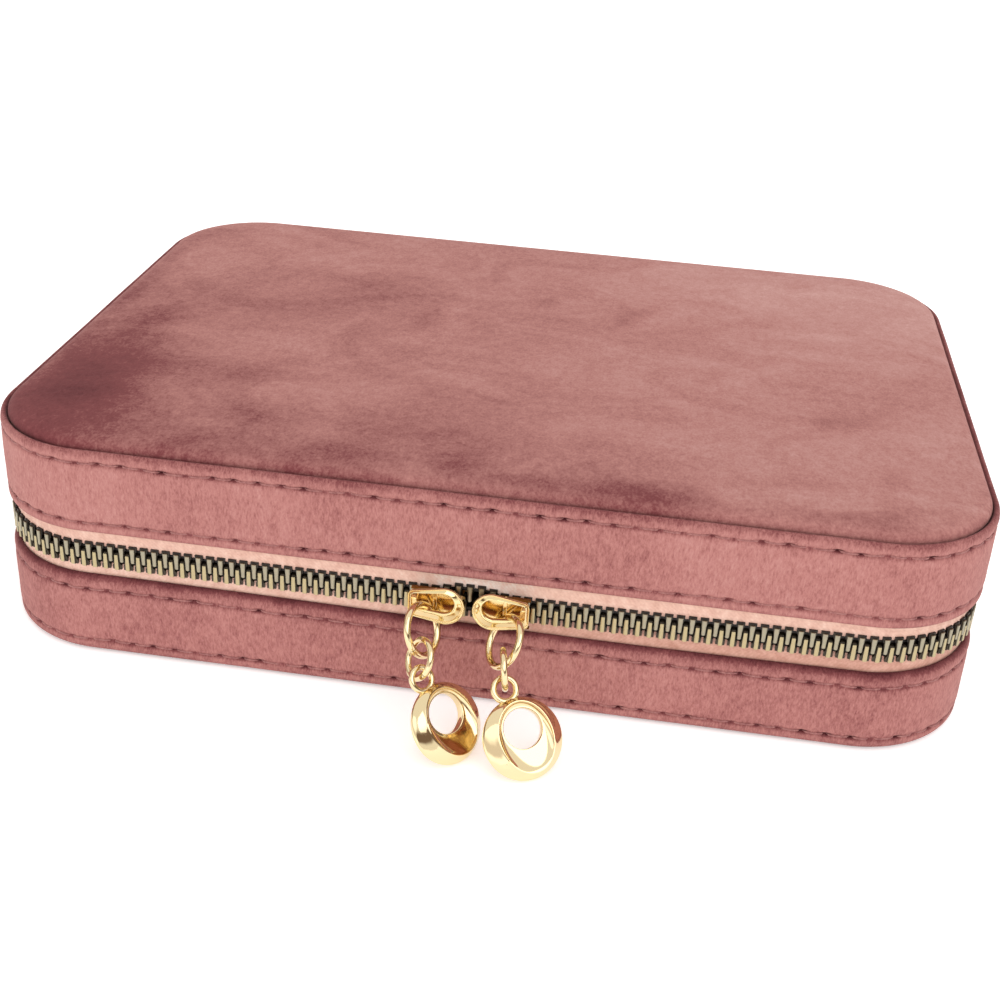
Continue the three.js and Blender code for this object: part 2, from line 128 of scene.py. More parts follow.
def signed_volume(points: Array, quads: Array) -> float:
    """Volume inside a closed surface, negative if its faces point inwards.

    Each quad is two triangles, and each triangle adds a sixth of its triple product.
    """
    a, b, c, d = (points[quads[:, i]] for i in range(4))
    first = np.einsum("ij,ij->i", a, np.cross(b, c))
    second = np.einsum("ij,ij->i", a, np.cross(c, d))
    return float((first + second).sum() / 6)


def loft(loops: Array, closed: bool = False, marks: dict[str, Array] | None = None) -> Patch:
    """Joins equal closed loops of points into a closed surface that points outwards.

    Args:
        loops: points as (loop, point, 3), or (piece, loop, point, 3) for many pieces at once.
        closed: joins the last loop to the first, or else fills each end from its middle.
        marks: values per point, shaped as the loops without their last axis.

    Returns:
        The patch. U is the mean distance along the loops and V the mean distance round them.
    """
    batch = loops if loops.ndim == 4 else loops[None]
    pieces, count, size, _ = batch.shape
    ids = np.arange(pieces * count * size).reshape(pieces, count, size)
    along = np.linalg.norm(np.diff(batch, axis=1), axis=3).mean(axis=(0, 2))
    u = np.concatenate([[0], np.cumsum(along)])
    wrapped = np.concatenate([batch, batch[:, :, :1]], axis=2)
    v = np.concatenate([[0], np.cumsum(np.linalg.norm(np.diff(wrapped, axis=2), axis=3).mean(axis=(0, 1)))])
    if closed:
        ids = np.concatenate([ids, ids[:, :1]], axis=1)
        last = np.linalg.norm(batch[:, 0] - batch[:, -1], axis=2).mean()
        u = np.concatenate([u, [u[-1] + last]])
    ring = np.concatenate([ids, ids[:, :, :1]], axis=2)
    quads = np.stack([ring[:, :-1, :-1], ring[:, 1:, :-1], ring[:, 1:, 1:], ring[:, :-1, 1:]], axis=-1)
    grid_u, grid_v = np.meshgrid(u, v, indexing="ij")
    flat = np.stack([grid_u, grid_v], axis=-1)
    uv = np.stack([flat[:-1, :-1], flat[1:, :-1], flat[1:, 1:], flat[:-1, 1:]], axis=-2)
    uv = np.broadcast_to(uv, (pieces, *uv.shape)).reshape(-1, 4, 2)
    points = batch.reshape(-1, 3)
    quads = quads.reshape(-1, 4)
    values = {name: value.reshape(-1) for name, value in (marks or {}).items()}
    if not closed:
        for end, flip in ((0, False), (-1, True)):
            middles = batch[:, end].mean(axis=1)
            first = len(points)
            points = np.concatenate([points, middles])
            hub = np.broadcast_to((first + np.arange(pieces))[:, None], (pieces, size))
            edge = ids[:, end]
            after = np.roll(edge, -1, axis=1)
            fan = np.stack([hub, edge, after, after] if flip else [hub, after, edge, edge], axis=-1)
            quads = np.concatenate([quads, fan.reshape(-1, 4)])
            uv = np.concatenate([uv, points[fan.reshape(-1, 4)][:, :, :2]])
            for name, value in (marks or {}).items():
                ends = value.reshape(pieces, count, size)[:, end].mean(axis=1)
                values[name] = np.concatenate([values[name], ends])
    if signed_volume(points, quads) < 0:
        quads, uv = quads[:, ::-1], uv[:, ::-1]
    return Patch(points, quads, uv, values)


def make_object(
    name: str, patches: Sequence[Patch], finish: "Finish", sharp_angle: float = 42.0
) -> bpy.types.Object:
    """Makes one mesh object at the origin from patches, with its doubles merged and its finish on it.

    Args:
        name: the piece's name.
        patches: surfaces in millimetres.
        finish: what it is made of.
        sharp_angle: edges that bend more than this many degrees stay crisp.

    Returns:
        The new object, linked to the scene.
    """
    starts = np.cumsum([0] + [len(p.points) for p in patches])
    points = np.concatenate([p.points for p in patches])
    quads = np.concatenate([p.quads + s for p, s in zip(patches, starts)])
    uv = np.concatenate([p.uv for p in patches])
    _, first, inverse = np.unique(np.round(points, 4), axis=0, return_index=True, return_inverse=True)
    quads = inverse.reshape(-1)[quads]
    keep = quads != np.roll(quads, -1, axis=1)
    whole = keep.sum(axis=1) >= 3
    keep, quads, uv = keep[whole], quads[whole], uv[whole]
    corners, corner_uv, counts = quads[keep], uv[keep], keep.sum(axis=1)
    mesh = bpy.data.meshes.new(name)
    mesh.vertices.add(len(first))
    mesh.vertices.foreach_set("co", (points[first] * MM).astype(np.float32).reshape(-1))
    mesh.loops.add(len(corners))
    mesh.loops.foreach_set("vertex_index", corners.astype(np.int32))
    mesh.polygons.add(len(counts))
    mesh.polygons.foreach_set("loop_start", np.concatenate([[0], np.cumsum(counts)[:-1]]).astype(np.int32))
    mesh.update(calc_edges=True)
    layer = mesh.uv_layers.new(name="UVMap")
    layer.data.foreach_set("uv", corner_uv.astype(np.float32).reshape(-1))
    for mark in sorted({key for p in patches for key in p.marks}):
        values = np.concatenate([p.marks.get(mark, np.zeros(len(p.points))) for p in patches])
        attribute = mesh.attributes.new(mark, "FLOAT", "POINT")
        attribute.data.foreach_set("value", values[first].astype(np.float32))
    mesh.validate()
    mesh.shade_smooth()
    mesh.set_sharp_from_angle(angle=math.radians(sharp_angle))
    piece = bpy.data.objects.new(name, mesh)
    bpy.context.scene.collection.objects.link(piece)
    mesh.materials.append(finish.material())
    return piece


def settle(piece: bpy.types.Object, body: str, *nodes: str) -> bpy.types.Object:
    """Makes a piece ride on a body and stand for CAD nodes, and reports it."""
    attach(piece, body)
    if nodes:
        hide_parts(*nodes)
    log.info("%s rides on %s, %d faces", piece.name, body, len(piece.data.polygons))
    return piece


def smooth_line(knots: Sequence[Sequence[float]], spacing: float) -> Array:
    """A Catmull-Rom curve through knots, sampled at about the given spacing.

    Between two knots the point is the usual cubic of the four nearest knots, with the end knots repeated.
    """
    pts = np.asarray(knots, float)
    ends = np.concatenate([pts[:1], pts, pts[-1:]])
    out = []
    for i in range(len(pts) - 1):
        steps = max(1, int(np.ceil(np.linalg.norm(pts[i + 1] - pts[i]) / spacing)))
        t = (np.arange(steps) / steps)[:, None]
        a, b, c, d = ends[i : i + 4]
        out.append(
            0.5 * (2 * b + (c - a) * t + (2 * a - 5 * b + 4 * c - d) * t**2 + (3 * b - a - 3 * c + d) * t**3)
        )
    out.append(pts[-1:])
    return np.concatenate(out)


@dataclass(frozen=True)
class RoundedRectangle:
    """A rounded rectangle seen from above, walked counter-clockwise from the middle of its back side."""

    length: float
    width: float
    radius: float

    def knots(self) -> tuple[Array, Array, Array, Array]:
        """Distances along the outline where a side or corner starts, with anchor X, Y and normal angle."""
        x, y = self.length / 2 - self.radius, self.width / 2 - self.radius
        arc = self.radius * math.pi / 2
        steps = np.array([x, arc, 2 * y, arc, 2 * x, arc, 2 * y, arc, x])
        anchor_x = np.array([0, -x, -x, -x, -x, x, x, x, x, 0])
        anchor_y = np.array([y, y, y, -y, -y, -y, -y, y, y, y])
        angles = np.radians([90, 90, 180, 180, 270, 270, 360, 360, 450, 450])
        return np.concatenate([[0], np.cumsum(steps)]), anchor_x, anchor_y, angles

    def perimeter(self) -> float:
        """Length of the outline."""
        return float(self.knots()[0][-1])

    def at(self, s: Array, inset: Array | float = 0.0) -> Array:
        """Points in X and Y at distances along the outline, moved in by an inset.

        The anchor moves along the sides of the inner rectangle, the normal turns in the corners, and the
        point is the anchor plus the normal times the radius less the inset.
        """
        knots, anchor_x, anchor_y, angles = self.knots()
        angle = np.interp(s, knots, angles)
        reach = self.radius - inset
        x = np.interp(s, knots, anchor_x) + reach * np.cos(angle)
        y = np.interp(s, knots, anchor_y) + reach * np.sin(angle)
        return np.stack([x, y], axis=-1)

    def inset_of(self, x: Array, y: Array) -> Array:
        """How far inside the outline points in X and Y lie: the radius less the distance to the anchor."""
        out_x = np.maximum(np.abs(x) - (self.length / 2 - self.radius), 0)
        out_y = np.maximum(np.abs(y) - (self.width / 2 - self.radius), 0)
        deep = np.minimum(self.length / 2 - np.abs(x), self.width / 2 - np.abs(y))
        return np.where((out_x > 0) & (out_y > 0), self.radius - np.hypot(out_x, out_y), deep)

    def places(self, step: float, start: float = 0.0, end: float | None = None) -> Array:
        """Distances along the outline about one step apart, with each start of a corner among them."""
        knots = self.knots()[0]
        end = knots[-1] if end is None else end
        marks = np.concatenate([[start], knots[(knots > start) & (knots < end)], [end]])
        runs = [
            np.linspace(a, b, max(2, int(np.ceil((b - a) / step)) + 1))[:-1] for a, b in zip(marks, marks[1:])
        ]
        return np.concatenate([*runs, [end]])


def carried(outline: RoundedRectangle, s: Array, inset: Array, height: Array) -> Array:
    """A profile of insets and heights carried along an outline, as loops (place, point, 3).

    Args:
        outline: the path, seen from above.
        s: distances along it.
        inset: insets, as (point,) or (place, point).
        height: heights, shaped alike.

    Returns:
        The loops of points.
    """
    insets = np.broadcast_to(inset, (len(s), np.shape(inset)[-1]))
    heights = np.broadcast_to(height, insets.shape)
    flat = outline.at(np.broadcast_to(s[:, None], insets.shape), insets)
    return np.concatenate([flat, heights[..., None]], axis=-1)


def bell(distance: Array, width: float) -> Array:
    """A bell curve, one at zero distance: e to the minus squared distance over squared width."""
    return np.exp(-((distance / width) ** 2))


def smooth_step(share: Array) -> Array:
    """A share from 0 to 1 eased at both ends: 3 times its square less 2 times its cube."""
    return share**2 * (3 - 2 * share)


def superellipse(sides: int, power: float) -> Array:
    """A rounded square of half width one: cosine and sine, each raised to a power with its sign kept."""
    angle = np.arange(sides) * FULL_TURN / sides
    round_one = np.stack([np.cos(angle), np.sin(angle)], axis=1)
    return np.sign(round_one) * np.abs(round_one) ** power


def frame_along(lines: Array) -> tuple[Array, Array]:
    """Two directions across each line of points: one level where it can be, the other square to it."""
    tangent = np.gradient(lines, axis=-2)
    tangent /= np.linalg.norm(tangent, axis=-1, keepdims=True)
    up = np.broadcast_to(np.array([0.0, 0.0, 1.0]), tangent.shape)
    side = np.cross(tangent, up)
    side /= np.linalg.norm(side, axis=-1, keepdims=True)
    return side, np.cross(side, tangent)


def tubes(lines: Array, radii: Array, sides: int) -> Array:
    """Loops of points round lines: each is the line's point plus the radius times cosine and sine across."""
    side, up = frame_along(lines)
    angle = np.arange(sides) * FULL_TURN / sides
    across = side[..., None, :] * np.cos(angle)[:, None] + up[..., None, :] * np.sin(angle)[:, None]
    return lines[..., None, :] + across * np.broadcast_to(radii, lines.shape[:-1])[..., None, None]


def wobble(s: Array, length: float, seed: int, waves: Sequence[int] = (5, 9, 14, 23)) -> Array:
    """A slow, repeatable waver between about -1 and 1 along a closed outline: four sines of whole counts."""
    random = np.random.default_rng(seed)
    phases = random.uniform(0, FULL_TURN, len(waves))
    return sum(np.sin(FULL_TURN * n * s / length + p) for n, p in zip(waves, phases)) / len(waves)


# Finishes


def in_millimetres(tree: bpy.types.NodeTree, stretch: Sequence[float]) -> bpy.types.NodeSocket:
    """Object coordinates in millimetres, divided by a stretch along each axis."""
    where = add_node(tree, "ShaderNodeTexCoord")
    scale = tuple(1 / (MM * s) for s in stretch)
    return add_node(tree, "ShaderNodeMapping", {"Vector": where.outputs["Object"], "Scale": scale}).outputs[0]


def noise(tree: bpy.types.NodeTree, size: Sequence[float], detail: float, **values: float) -> bpy.types.NodeSocket:
    """A noise whose features are about as large as the size in millimetres along each axis."""
    inputs = {"Vector": in_millimetres(tree, size), "Scale": 1.0, "Detail": detail, **values}
    return add_node(tree, "ShaderNodeTexNoise", inputs).outputs[0]


def mark(tree: bpy.types.NodeTree, name: str) -> bpy.types.NodeSocket:
    """A value that the mesh carries at each point."""
    return add_node(tree, "ShaderNodeAttribute", attribute_name=name).outputs["Fac"]


def added(tree: bpy.types.NodeTree, value: object, share: float, base: object) -> bpy.types.NodeSocket:
    """The value times its share, added to the base."""
    return add_node(tree, "ShaderNodeMath", {0: value, 1: share, 2: base}, operation="MULTIPLY_ADD").outputs[0]


def ramp(tree: bpy.types.NodeTree, value: object, *stops: tuple[float, str]) -> bpy.types.NodeSocket:
    """The colour of a value on a ramp of places and hex colours."""
    return add_node(tree, "ShaderNodeValToRGB", {"Fac": value}, stops=stops).outputs[0]


def ranged(tree: bpy.types.NodeTree, value: object, **ends: float) -> bpy.types.NodeSocket:
    """A value mapped from one range to another, whose ends are named as from_min or to_max."""
    inputs = {name.replace("_", " ").title(): end for name, end in ends.items()}
    return add_node(tree, "ShaderNodeMapRange", {"Value": value, **inputs}).outputs[0]


def bump(tree: bpy.types.NodeTree, height: object, strength: float, depth: float) -> bpy.types.NodeSocket:
    """A normal bent by a height, for relief of a depth in millimetres."""
    inputs = {"Height": height, "Strength": strength, "Distance": depth * MM}
    return add_node(tree, "ShaderNodeBump", inputs).outputs[0]


def surface(tree: bpy.types.NodeTree, colour: object, roughness: object, **inputs: object) -> bpy.types.Node:
    """A principled shader, whose other inputs are named with underscores for spaces."""
    named = {name.replace("_", " "): value for name, value in inputs.items()}
    return add_node(tree, "ShaderNodeBsdfPrincipled", {"Base Color": colour, "Roughness": roughness, **named})


@dataclass(frozen=True)
class Finish:
    """One real finish, shared by all pieces that are made of it."""

    slot: str = ""

    def material(self) -> bpy.types.Material:
        """The finish as a material, made once."""
        name = "_".join([type(self).__name__.lower(), *self.variant()])
        found = bpy.data.materials.get(name)
        if found:
            return found
        made = bpy.data.materials.new(name)
        made.use_nodes = True
        made.node_tree.nodes.clear()
        shader = self.draw(made.node_tree)
        add_node(made.node_tree, "ShaderNodeOutputMaterial", {"Surface": shader.outputs[0]})
        return made

    def variant(self) -> list[str]:
        """Words that tell this variant of the finish from others of its class."""
        return []

    def draw(self, tree: bpy.types.NodeTree) -> bpy.types.Node:
        """Draws the finish's nodes and returns its shader."""
        raise NotImplementedError


class Along(Enum):
    """The direction in which a pile lies."""

    UPRIGHT = "upright"
    FORWARD = "forward"


@dataclass(frozen=True)
class Velvet(Finish):
    """Short-pile polyester velvet: matt, with a faint bright rim where the pile is seen edge on, and darker
    and lighter patches where the pile has been brushed one way or the other."""

    slot: str = "velvet"
    along: Along = Along.UPRIGHT
    upright: tuple[str, ...] = ("52262a", "7c4546", "af7671", "c4918b", "d8afa8")
    # The brushed palette's light end is greyer: a painted sheen on the lid's top
    brushed: tuple[str, ...] = ("5b2a2f", "7a4143", "b07a74", "c99d97", "dfbeb8")

    def variant(self) -> list[str]:
        return [self.along.value]

    def draw(self, tree: bpy.types.NodeTree) -> bpy.types.Node:
        forward = self.along is Along.FORWARD
        # Locks of pile are about 0.4 mm wide and 2 mm long, and they lie upright on the bands
        locks = noise(tree, (0.4, 0.65, 0.4) if forward else (0.3, 0.3, 0.85), 4.0, Roughness=0.7)
        # Clusters of locks about 1.5 mm wide lean together
        clusters = noise(tree, (1.3, 1.6, 2.2), 3.0, Roughness=0.6, Distortion=0.5)
        # Places 20 mm across were stroked by a hand, torn at their edges
        strokes = noise(tree, (24, 17, 17), 6.0, Roughness=0.62, Distortion=0.9)
        shares = (0.36, 0.26, 0.42) if forward else (0.64, 0.26, 0.18)
        # The mark holds the brushed pile together with painted shade and painted sheen
        level = {0: mark(tree, "nap"), 1: 0.5 - 0.5 * sum(shares)}
        tone = add_node(tree, "ShaderNodeMath", level, operation="ADD").outputs[0]
        for layer, share in zip((locks, clusters, strokes), shares):
            tone = added(tree, layer, share, tone)
        colour = ramp(tree, tone, *zip((0.0, 0.25, 0.5, 0.75, 1.0), self.brushed if forward else self.upright))
        normal = bump(tree, added(tree, locks, 0.6, clusters), 0.45, 0.2)
        sheen = {"Sheen_Weight": 0.16, "Sheen_Roughness": 0.5, "Sheen_Tint": linear("f0cdc6")}
        return surface(tree, colour, 0.95, Normal=normal, Specular_IOR_Level=0.1, **sheen)


@dataclass(frozen=True)
class Suede(Finish):
    """Brushed microfibre suede lining: paler, matt, with a fine even tooth and faint clouds."""

    slot: str = "suede_lining"

    def draw(self, tree: bpy.types.NodeTree) -> bpy.types.Node:
        clouds = noise(tree, (14, 14, 14), 4.0, Roughness=0.6)
        # Nap about 0.35 mm across
        tooth = noise(tree, (0.35, 0.35, 0.35), 2.0)
        tone = added(tree, tooth, 0.5, clouds)
        colour = ramp(tree, tone, (0.35, "b98880"), (0.75, "cfa198"), (1.0, "dcb3a9"))
        sheen = {"Sheen_Weight": 0.3, "Sheen_Roughness": 0.5, "Sheen_Tint": linear("ffe2da")}
        return surface(tree, colour, 0.9, Normal=bump(tree, tooth, 0.35, 0.12), Specular_IOR_Level=0.2, **sheen)


@dataclass(frozen=True)
class WovenTape(Finish):
    """Herringbone-woven polyester zipper tape: smooth from a step away, with fine diagonal ribs and a soft
    sheen. The ribs are 0.6 mm apart, and they follow the tape's own length and width."""

    slot: str = "zipper_tape"
    rib: float = 0.6

    def draw(self, tree: bpy.types.NodeTree) -> bpy.types.Node:
        along = add_node(tree, "ShaderNodeUVMap", uv_map="UVMap")
        slant = {"Vector": along.outputs[0], "Rotation": (0, 0, math.radians(38))}
        turned = add_node(tree, "ShaderNodeMapping", slant)
        wave = {"Vector": turned.outputs[0], "Scale": 1 / (self.rib * 3.2), "Distortion": 0.4, "Detail": 1.0}
        ribs = add_node(tree, "ShaderNodeTexWave", wave).outputs[1]
        tone = added(tree, ribs, 0.07, noise(tree, (1.6, 1.6, 1.6), 5.0, Roughness=0.7))
        # The shade mark paints shade on the lower tape and light round the sliders, over the ramp's end stops
        tone = added(tree, mark(tree, "shade"), -0.34, tone)
        stops = ((0.06, "c28d7b"), (0.3, "d6a593"), (0.6, "ecc3b1"), (0.72, "f2cebd"), (1.0, "fff0e6"))
        sheen = {"Sheen_Weight": 0.25, "Sheen_Roughness": 0.4, "Sheen_Tint": linear("ffe6dc")}
        return surface(tree, ramp(tree, tone, *stops), 0.75, Normal=bump(tree, ribs, 0.25, 0.08), **sheen)


@dataclass(frozen=True)
class AntiqueBrass(Finish):
    """Antiqued brass zipper metal: worn pale with a painted highlight on the faces that show, near black elsewhere
    from patina and painted shade.
    """

    slot: str = "antique_brass"

    def draw(self, tree: bpy.types.NodeTree) -> bpy.types.Node:
        # The mark holds wear together with a painted highlight and painted shade
        wear_and_shading_value = added(tree, noise(tree, (0.5, 0.5, 0.9), 3.0), 0.25, mark(tree, "rub"))
        stops = ((0.17, "160e08"), (0.5, "574d3c"), (0.85, "a09a87"), (0.96, "aba38a"), (1.0, "bbad87"))
        metal = ranged(tree, wear_and_shading_value, from_min=0.2, from_max=0.9, to_min=0.25, to_max=1.0)
        return surface(tree, ramp(tree, wear_and_shading_value, *stops), 0.42, Metallic=metal)


@dataclass(frozen=True)
class PolishedGold(Finish):
    """Zinc casting with bright light-gold plating: near mirror gloss with a faint polishing haze, and orange to
    dark brown where the mesh marks painted reflection and painted shade in the slider's hollow and slots."""

    slot: str = "gold"
    tint: str = "ebd7ab"

    def variant(self) -> list[str]:
        return [self.tint]

    def draw(self, tree: bpy.types.NodeTree) -> bpy.types.Node:
        haze = noise(tree, (1.4, 1.4, 1.4), 4.0)
        haze_and_painted_shading = added(tree, haze, 0.12, mark(tree, "grime"))
        # Orange stops paint light bounced round the hollow, brown ones paint shade
        colour = ramp(tree, haze_and_painted_shading, (0.1, self.tint), (0.4, "e0a04a"), (0.6, "c4853a"), (0.95, "68411f"))
        gloss = ranged(tree, haze_and_painted_shading, from_max=0.8, to_min=0.04, to_max=0.5)
        return surface(tree, colour, gloss, Metallic=1.0, Normal=bump(tree, haze, 0.12, 0.06))


@dataclass(frozen=True)
class SilveredGlass(Finish):
    """Float-glass mirror: a clear, cool reflection with a trace of haze."""

    slot: str = "mirror_glass"

    def draw(self, tree: bpy.types.NodeTree) -> bpy.types.Node:
        gloss = ranged(tree, noise(tree, (30, 30, 30), 2.0), to_min=0.01, to_max=0.035)
        return surface(tree, linear("e4e9ea"), gloss, Metallic=1.0)


@dataclass(frozen=True)
class GreyBoard(Finish):
    """Pressed grey board: dull, speckled with darker fibres 0.8 mm long."""

    slot: str = "grey_board"

    def draw(self, tree: bpy.types.NodeTree) -> bpy.types.Node:
        fibres = noise(tree, (0.8, 0.8, 0.3), 5.0)
        return surface(tree, ramp(tree, fibres, (0.3, "8c7f6b"), (0.6, "b3a48b"), (0.8, "c4b69e")), 0.9)


@dataclass(frozen=True)
class OpenFoam(Finish):
    """Open-cell upholstery foam: off-white with cells about 0.6 mm across."""

    slot: str = "foam"

    def draw(self, tree: bpy.types.NodeTree) -> bpy.types.Node:
        where = in_millimetres(tree, (0.6, 0.6, 0.6))
        cells = add_node(tree, "ShaderNodeTexVoronoi", {"Vector": where, "Scale": 1.0}).outputs[0]
        return surface(tree, ramp(tree, cells, (0.0, "c9c0a8"), (0.6, "ece5d2")), 1.0)


@dataclass(frozen=True)
class SewingThread(Finish):
    """Spun polyester thread in the velvet's own colour, with its twist 0.5 mm apart."""

    slot: str = "velvet"

    def draw(self, tree: bpy.types.NodeTree) -> bpy.types.Node:
        twist = noise(tree, (0.5, 0.5, 0.5), 2.0)
        return surface(tree, ramp(tree, twist, (0.3, "844b4a"), (0.7, "ab746e")), 0.7, Sheen_Weight=0.15)


# The case


@dataclass(frozen=True)
class CaseSizes:
    """Sizes in millimetres that several sub-assemblies share."""

    length: float = 170.0
    width: float = 124.0
    corner: float = 20.0
    zip_line: float = 19.9
    base_top: float = 15.7
    lid_bottom: float = 24.1
    floor: float = 3.8
    ceiling: float = 34.0
    board_inset: float = 2.2
    room_inset: float = 5.3
    tape_inset: float = 1.3
    tape_thickness: float = 0.6
    spine_half: float = 58.0
    chain_end: float = 60.2

    def outline(self, inset: float = 0.0) -> RoundedRectangle:
        """The case's outline, drawn in by an inset."""
        return RoundedRectangle(self.length - 2 * inset, self.width - 2 * inset, self.corner - inset)

    def front(self, flat: Array) -> Array:
        """One along the front, falling evenly to zero where the front corners end on the sides."""
        return np.clip((-flat[..., 1] - self.width / 2 + 30) / 20, 0, 1)

    def dip(self, flat: Array) -> Array:
        """How far the base's upper edge hangs lower at points in X and Y: a broad bell along the front."""
        return 0.85 * bell(flat[..., 0] - 26, 50) * self.front(flat) * np.clip((84 - flat[..., 0]) / 16, 0, 1)

    def sag(self, flat: Array) -> Array:
        """How far the chain hangs under the zip line at points in X and Y: two broad bells along the front."""
        x = flat[..., 0]
        return (0.4 * bell(x + 50, 32) + 0.78 * bell(x - 18, 38)) * self.front(flat)


@dataclass(frozen=True)
class StitchRow:
    """One row of topstitching round a band: where it runs, and how far apart its needle holes are."""

    height: float
    pitch: float = 3.85
    thread: float = 0.16
    seed: int = 1
    pit_length: float = 0.8
    pit_height: float = 0.3
    pit_depth: float = 0.42
    channel_height: float = 0.65
    channel_depth: float = 0.2

    def count(self, length: float) -> int:
        """Whole number of stitches round an outline."""
        return round(length / self.pitch)

    def holes(self, length: float) -> Array:
        """Each needle hole's small shift along and across the row, and its depth, as (hole, 3)."""
        random = np.random.default_rng(self.seed)
        return random.normal((0, 0, 0.95), (0.24, 0.11, 0.4), (self.count(length), 3))

    def press(self, s: Array, z: Array, length: float) -> tuple[Array, Array]:
        """How far the row draws the band in, and how much painted shade it puts on the pile.

        A shallow channel follows the row, and a pit at each needle hole is a bell along and across it; both carry
        painted shade.
        """
        count = self.count(length)
        step = length / count
        number = np.round(s / step).astype(int)
        shift, lift, depth = np.moveaxis(self.holes(length)[number % count], -1, 0)
        across = z - self.height - lift
        pit = bell(s - number * step - shift, self.pit_length) * bell(across, self.pit_height)
        pit = np.clip(depth, 0.35, 1.6) * pit
        drawn = self.channel_depth * bell(z - self.height, self.channel_height) + self.pit_depth * pit
        # Painted shade in the channel, a little below the row, and in each pit
        return drawn, 0.12 * bell(z - self.height + 0.2, 0.36) + 0.36 * pit

    def threads(self, outline: RoundedRectangle) -> Array:
        """The threads that show: one short tube a stitch, which bows out and dips into its needle holes."""
        length = outline.perimeter()
        count = self.count(length)
        holes = self.holes(length)
        after = np.roll(holes, -1, axis=0)
        share = np.linspace(-1, 1, 9)
        step = length / count
        blend = (share + 1) / 2
        s = (np.arange(count)[:, None] + 0.5 + share * 0.46) * step
        s = s + holes[:, :1] * (1 - blend) + after[:, :1] * blend
        z = self.height + holes[:, 1:2] * (1 - blend) + after[:, 1:2] * blend
        flat = outline.at(s % length, np.broadcast_to(0.2 + 0.5 * np.abs(share) ** 4, s.shape))
        lines = np.concatenate([flat, z[..., None]], axis=-1)
        radii = self.thread * np.sqrt(np.clip(1 - share**8, 0, 1))
        return tubes(lines, radii, 6)


@dataclass(frozen=True)
class VelvetBand:
    """A velvet side band over board: its edges turn in, and its topstitching pulls it into shallow rows."""

    name: str
    node: str
    body: str
    knots: tuple[tuple[float, float], ...]
    rows: tuple[StitchRow, ...]
    seed: int
    shadows: tuple[tuple[float, float, float], ...] = ()
    # A set shift of the band's pile; the base band uses it as painted shade
    tone: float = 0.0
    dips: bool = False
    wall: float = 1.2

    def hung(self, case: CaseSizes, loops: Array) -> Array:
        """Lowers points of a band whose upper edge dips: fully from 11 mm up, and not at all under 4 mm."""
        if self.dips:
            share = np.clip((loops[..., 2] - 4) / 7, 0, 1)
            loops[..., 2] -= case.dip(loops) * smooth_step(share)
        return loops

    def build(self, case: CaseSizes) -> None:
        """Builds the band and its threads.

        Painted shade darkens the pile in the stitch rows, past the turned edges, and in bells at each of the
        shadow heights, which have a width and a depth.
        """
        outline = case.outline()
        length = outline.perimeter()
        s = outline.places(0.5)[:-1]
        profile = smooth_line(self.knots, 0.34)
        # Every fourth point is enough behind the wall, which never shows
        profile = profile[(profile[:, 0] <= self.wall) | (np.arange(len(profile)) % 4 == 0)]
        inset = np.broadcast_to(profile[:, 0], (len(s), len(profile))).copy()
        height = np.broadcast_to(profile[:, 1], inset.shape).copy()
        outside = 1 / (1 + np.exp((inset - self.wall) / 0.12))
        grid = np.broadcast_to(s[:, None], inset.shape)
        drawn, shade = (sum(parts) for parts in zip(*(row.press(grid, height, length) for row in self.rows)))
        ripple = np.sin(height * 0.42 + wobble(grid, length, self.seed + 3))
        puff = 0.07 * wobble(grid, length, self.seed) * ripple
        nap = self.tone + 0.05 * wobble(grid, length, self.seed + 7) - outside * shade
        waver = 0.85 + 0.15 * wobble(grid, length, self.seed + 9, (31, 57, 83))
        for place, width, depth in self.shadows:
            nap = nap - depth * bell(height - place, width) * waver
        # Painted shade on the turned edges, where the band folds in
        nap -= 0.2 * np.clip((inset - 0.4) / 0.8, 0, 1)
        inset += outside * (drawn - puff)
        patch = loft(self.hung(case, carried(outline, s, inset, height)), closed=True, marks={"nap": nap})
        band = make_object(self.name, [patch], Velvet())
        settle(band, self.body, self.node)
        for number, row in enumerate(self.rows, 1):
            lines = self.hung(case, row.threads(outline))
            threads = make_object(f"{self.name}_stitches_{number}", [loft(lines)], SewingThread())
            settle(threads, self.body)


def crowned_panel(
    outline: RoundedRectangle,
    rim: Sequence[tuple[float, float]],
    underside: float,
    step: float,
    nap: Callable[[Array, Array], Array] | None = None,
    relief: Callable[[Array, Array], Array] | None = None,
) -> Patch:
    """A closed panel inside an outline: a rim profile, then rings that shrink to the middle, and a flat back.

    Args:
        outline: the panel's outline.
        rim: insets and heights from the lowest edge inwards. The last one is the height in the middle.
        underside: height of the flat back.
        step: spacing of places along the outline.
        nap: gives each point's brushed pile and painted shading from its X and Y.
        relief: gives each point's extra height from its X and Y.

    Returns:
        The closed patch.
    """
    s = outline.places(step)[:-1]
    profile = smooth_line(rim, 0.5)
    rings = carried(outline, s, profile[:, 0], profile[:, 1]).transpose(1, 0, 2)
    last = rings[-1]
    shares = np.linspace(0, 1, 26)[1:, None, None]
    inner = last * np.concatenate([1 - shares, 1 - shares, np.ones_like(shares)], axis=-1)
    top = np.concatenate([rings, inner])
    if relief:
        top[..., 2] += relief(top[..., 0], top[..., 1])
    back = np.concatenate([top[:1], inner[:: len(inner) - 1]])
    back[:, :, 2] = underside
    back[0, :, :2] = top[0, :, :2]
    loops = np.concatenate([back[[2, 0]], top])
    marks = {"nap": nap(loops[..., 0], loops[..., 1])} if nap else None
    return loft(loops, marks=marks)


